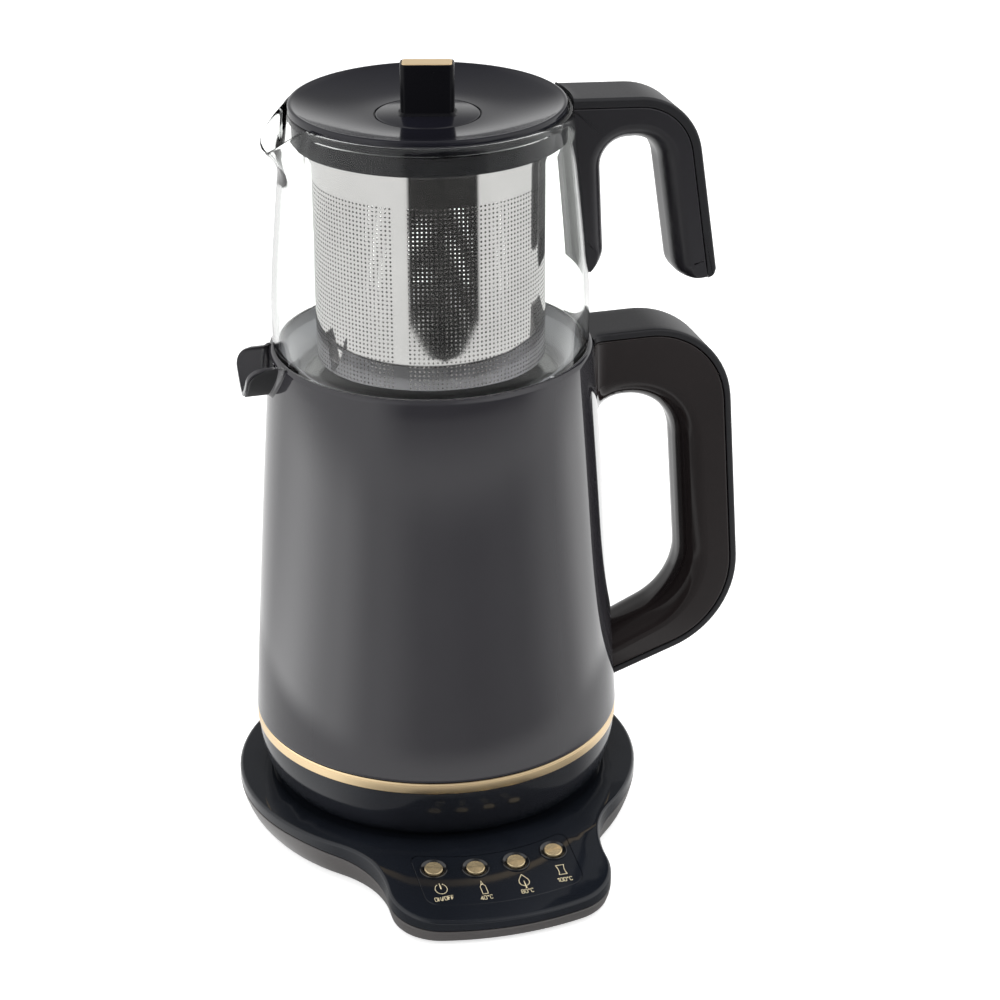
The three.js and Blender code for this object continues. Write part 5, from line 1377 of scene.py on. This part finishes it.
levels = (floor_low.z, floor_high.z)
sheets = [filled(floor_loops, lambda x, y: level, solid=floor_solid) for level in levels]
walls = [skinned([[(x, y, level) for x, y in loop] for level in levels]) for loop in floor_loops]
add_piece("infuser_punched_floor", *joined(*sheets, *walls), screen_steel, "infuser", "screen_steel",
          ["infuser_floor"])

# Lid: a shallow dish in glossy black plastic that drops into the collar, with a round insert in its
# middle and an upright block of a knob, capped with a gold plate.
lid_foot, lid_top = 320.3, 323.4
dish_floor = 317.7
lid_edge = 57.0
lid_plug = 46.5
plug_floor = 314.9
insert_radius = 21.4
lid_black = finish_of("lid_gloss_black", (22, 22, 29), 0.08, 0.12, 0.03, 600, 0.002)
dish_profile = [(0, plug_floor), (lid_plug - 0.6, plug_floor), (lid_plug, plug_floor + 0.6),
                (lid_plug, lid_foot), (lid_edge - 0.3, lid_foot), (lid_edge, lid_foot + 0.3),
                (lid_edge, lid_top - 0.9), (lid_edge - 0.25, lid_top - 0.3), (lid_edge - 0.8, lid_top),
                (lid_edge - 1.5, lid_top - 0.03), (lid_edge - 1.9, lid_top - 0.2)]
for t in np.linspace(0.04, 1, 24):
    dish_profile.append((bend(lid_edge - 2, 40, insert_radius + 0.7, t),
                         bend(lid_top - 0.35, dish_floor - 0.1, dish_floor, t)))
dish_profile += [(insert_radius + 0.7, dish_floor - 1.5), (0, dish_floor - 1.5)]
add_piece("lid_shallow_dish", *turned(dish_profile, 192), lid_black, "lid", "lid_black", ["lid_dish"])
insert_profile = [(0, dish_floor - 1.2), (insert_radius, dish_floor - 1.2), (insert_radius, dish_floor - 0.2),
                  (insert_radius - 0.1, dish_floor), (insert_radius - 0.3, dish_floor + 0.2),
                  (insert_radius - 0.7, dish_floor + 0.3), (0, dish_floor + 0.3)]
add_piece("lid_round_insert", *turned(insert_profile, 128), lid_black, "lid", "lid_black", ["lid_insert"])
knob_turn = -0.28
knob_foot, knob_top = 318.0, 339.0


def knob_block(levels):
    """A block turned as the knob is, through rounded oblongs (width, depth, corner radius, height)."""
    spin = Matrix.Rotation(knob_turn, 3, "Z")
    rings = []
    for width, depth, radius, z in levels:
        w, d = width / 2, depth / 2
        loop = rounded([(w, -d, radius), (w, d, radius), (-w, d, radius), (-w, -d, radius)], 6, closed=True)
        rings.append([tuple(spin @ Vector((x, y, z))) for x, y in loop])
    return skinned(rings, (0, 0, levels[0][3]), (0, 0, levels[-1][3]))


knob_levels = [(24, 12, 2.5, knob_foot), (23.2, 11.2, 2.1, knob_foot + 0.25),
               (22.4, 10.4, 1.7, knob_foot + 0.7), (22, 10, 2.2, knob_foot + 1.3),
               (22, 10, 2.2, knob_top - 0.5), (21.8, 9.8, 2.1, knob_top - 0.15), (21.3, 9.3, 1.9, knob_top),
               (20.8, 8.8, 1.7, knob_top), (20.6, 8.6, 1.6, knob_top - 0.15), (20.6, 8.6, 1.6, knob_top - 1)]
knob_black = finish_of("knob_deep_black", (12, 12, 16), 0.08, 0.25, 0.05, 600, 0.002, Specular_IOR_Level=0.2)
add_piece("lid_upright_knob", *knob_block(knob_levels), knob_black, "lid", "lid_black", ["lid_knob"])
cap_levels = [(20.3, 8.3, 1.5, knob_top - 0.9), (20.3, 8.3, 1.5, knob_top), (19.9, 7.9, 1.3, knob_top + 0.25)]
plate_gold = finish_of("satin_gold_plate", (232, 204, 158), 0.03, 0.3, 0.01, 900, 0.0003, Metallic=0.6)
add_piece("knob_gold_plate", *knob_block(cap_levels), plate_gold, "lid", "gold_trim", ["knob_cap"])
dress(zinc, "lid_screw")
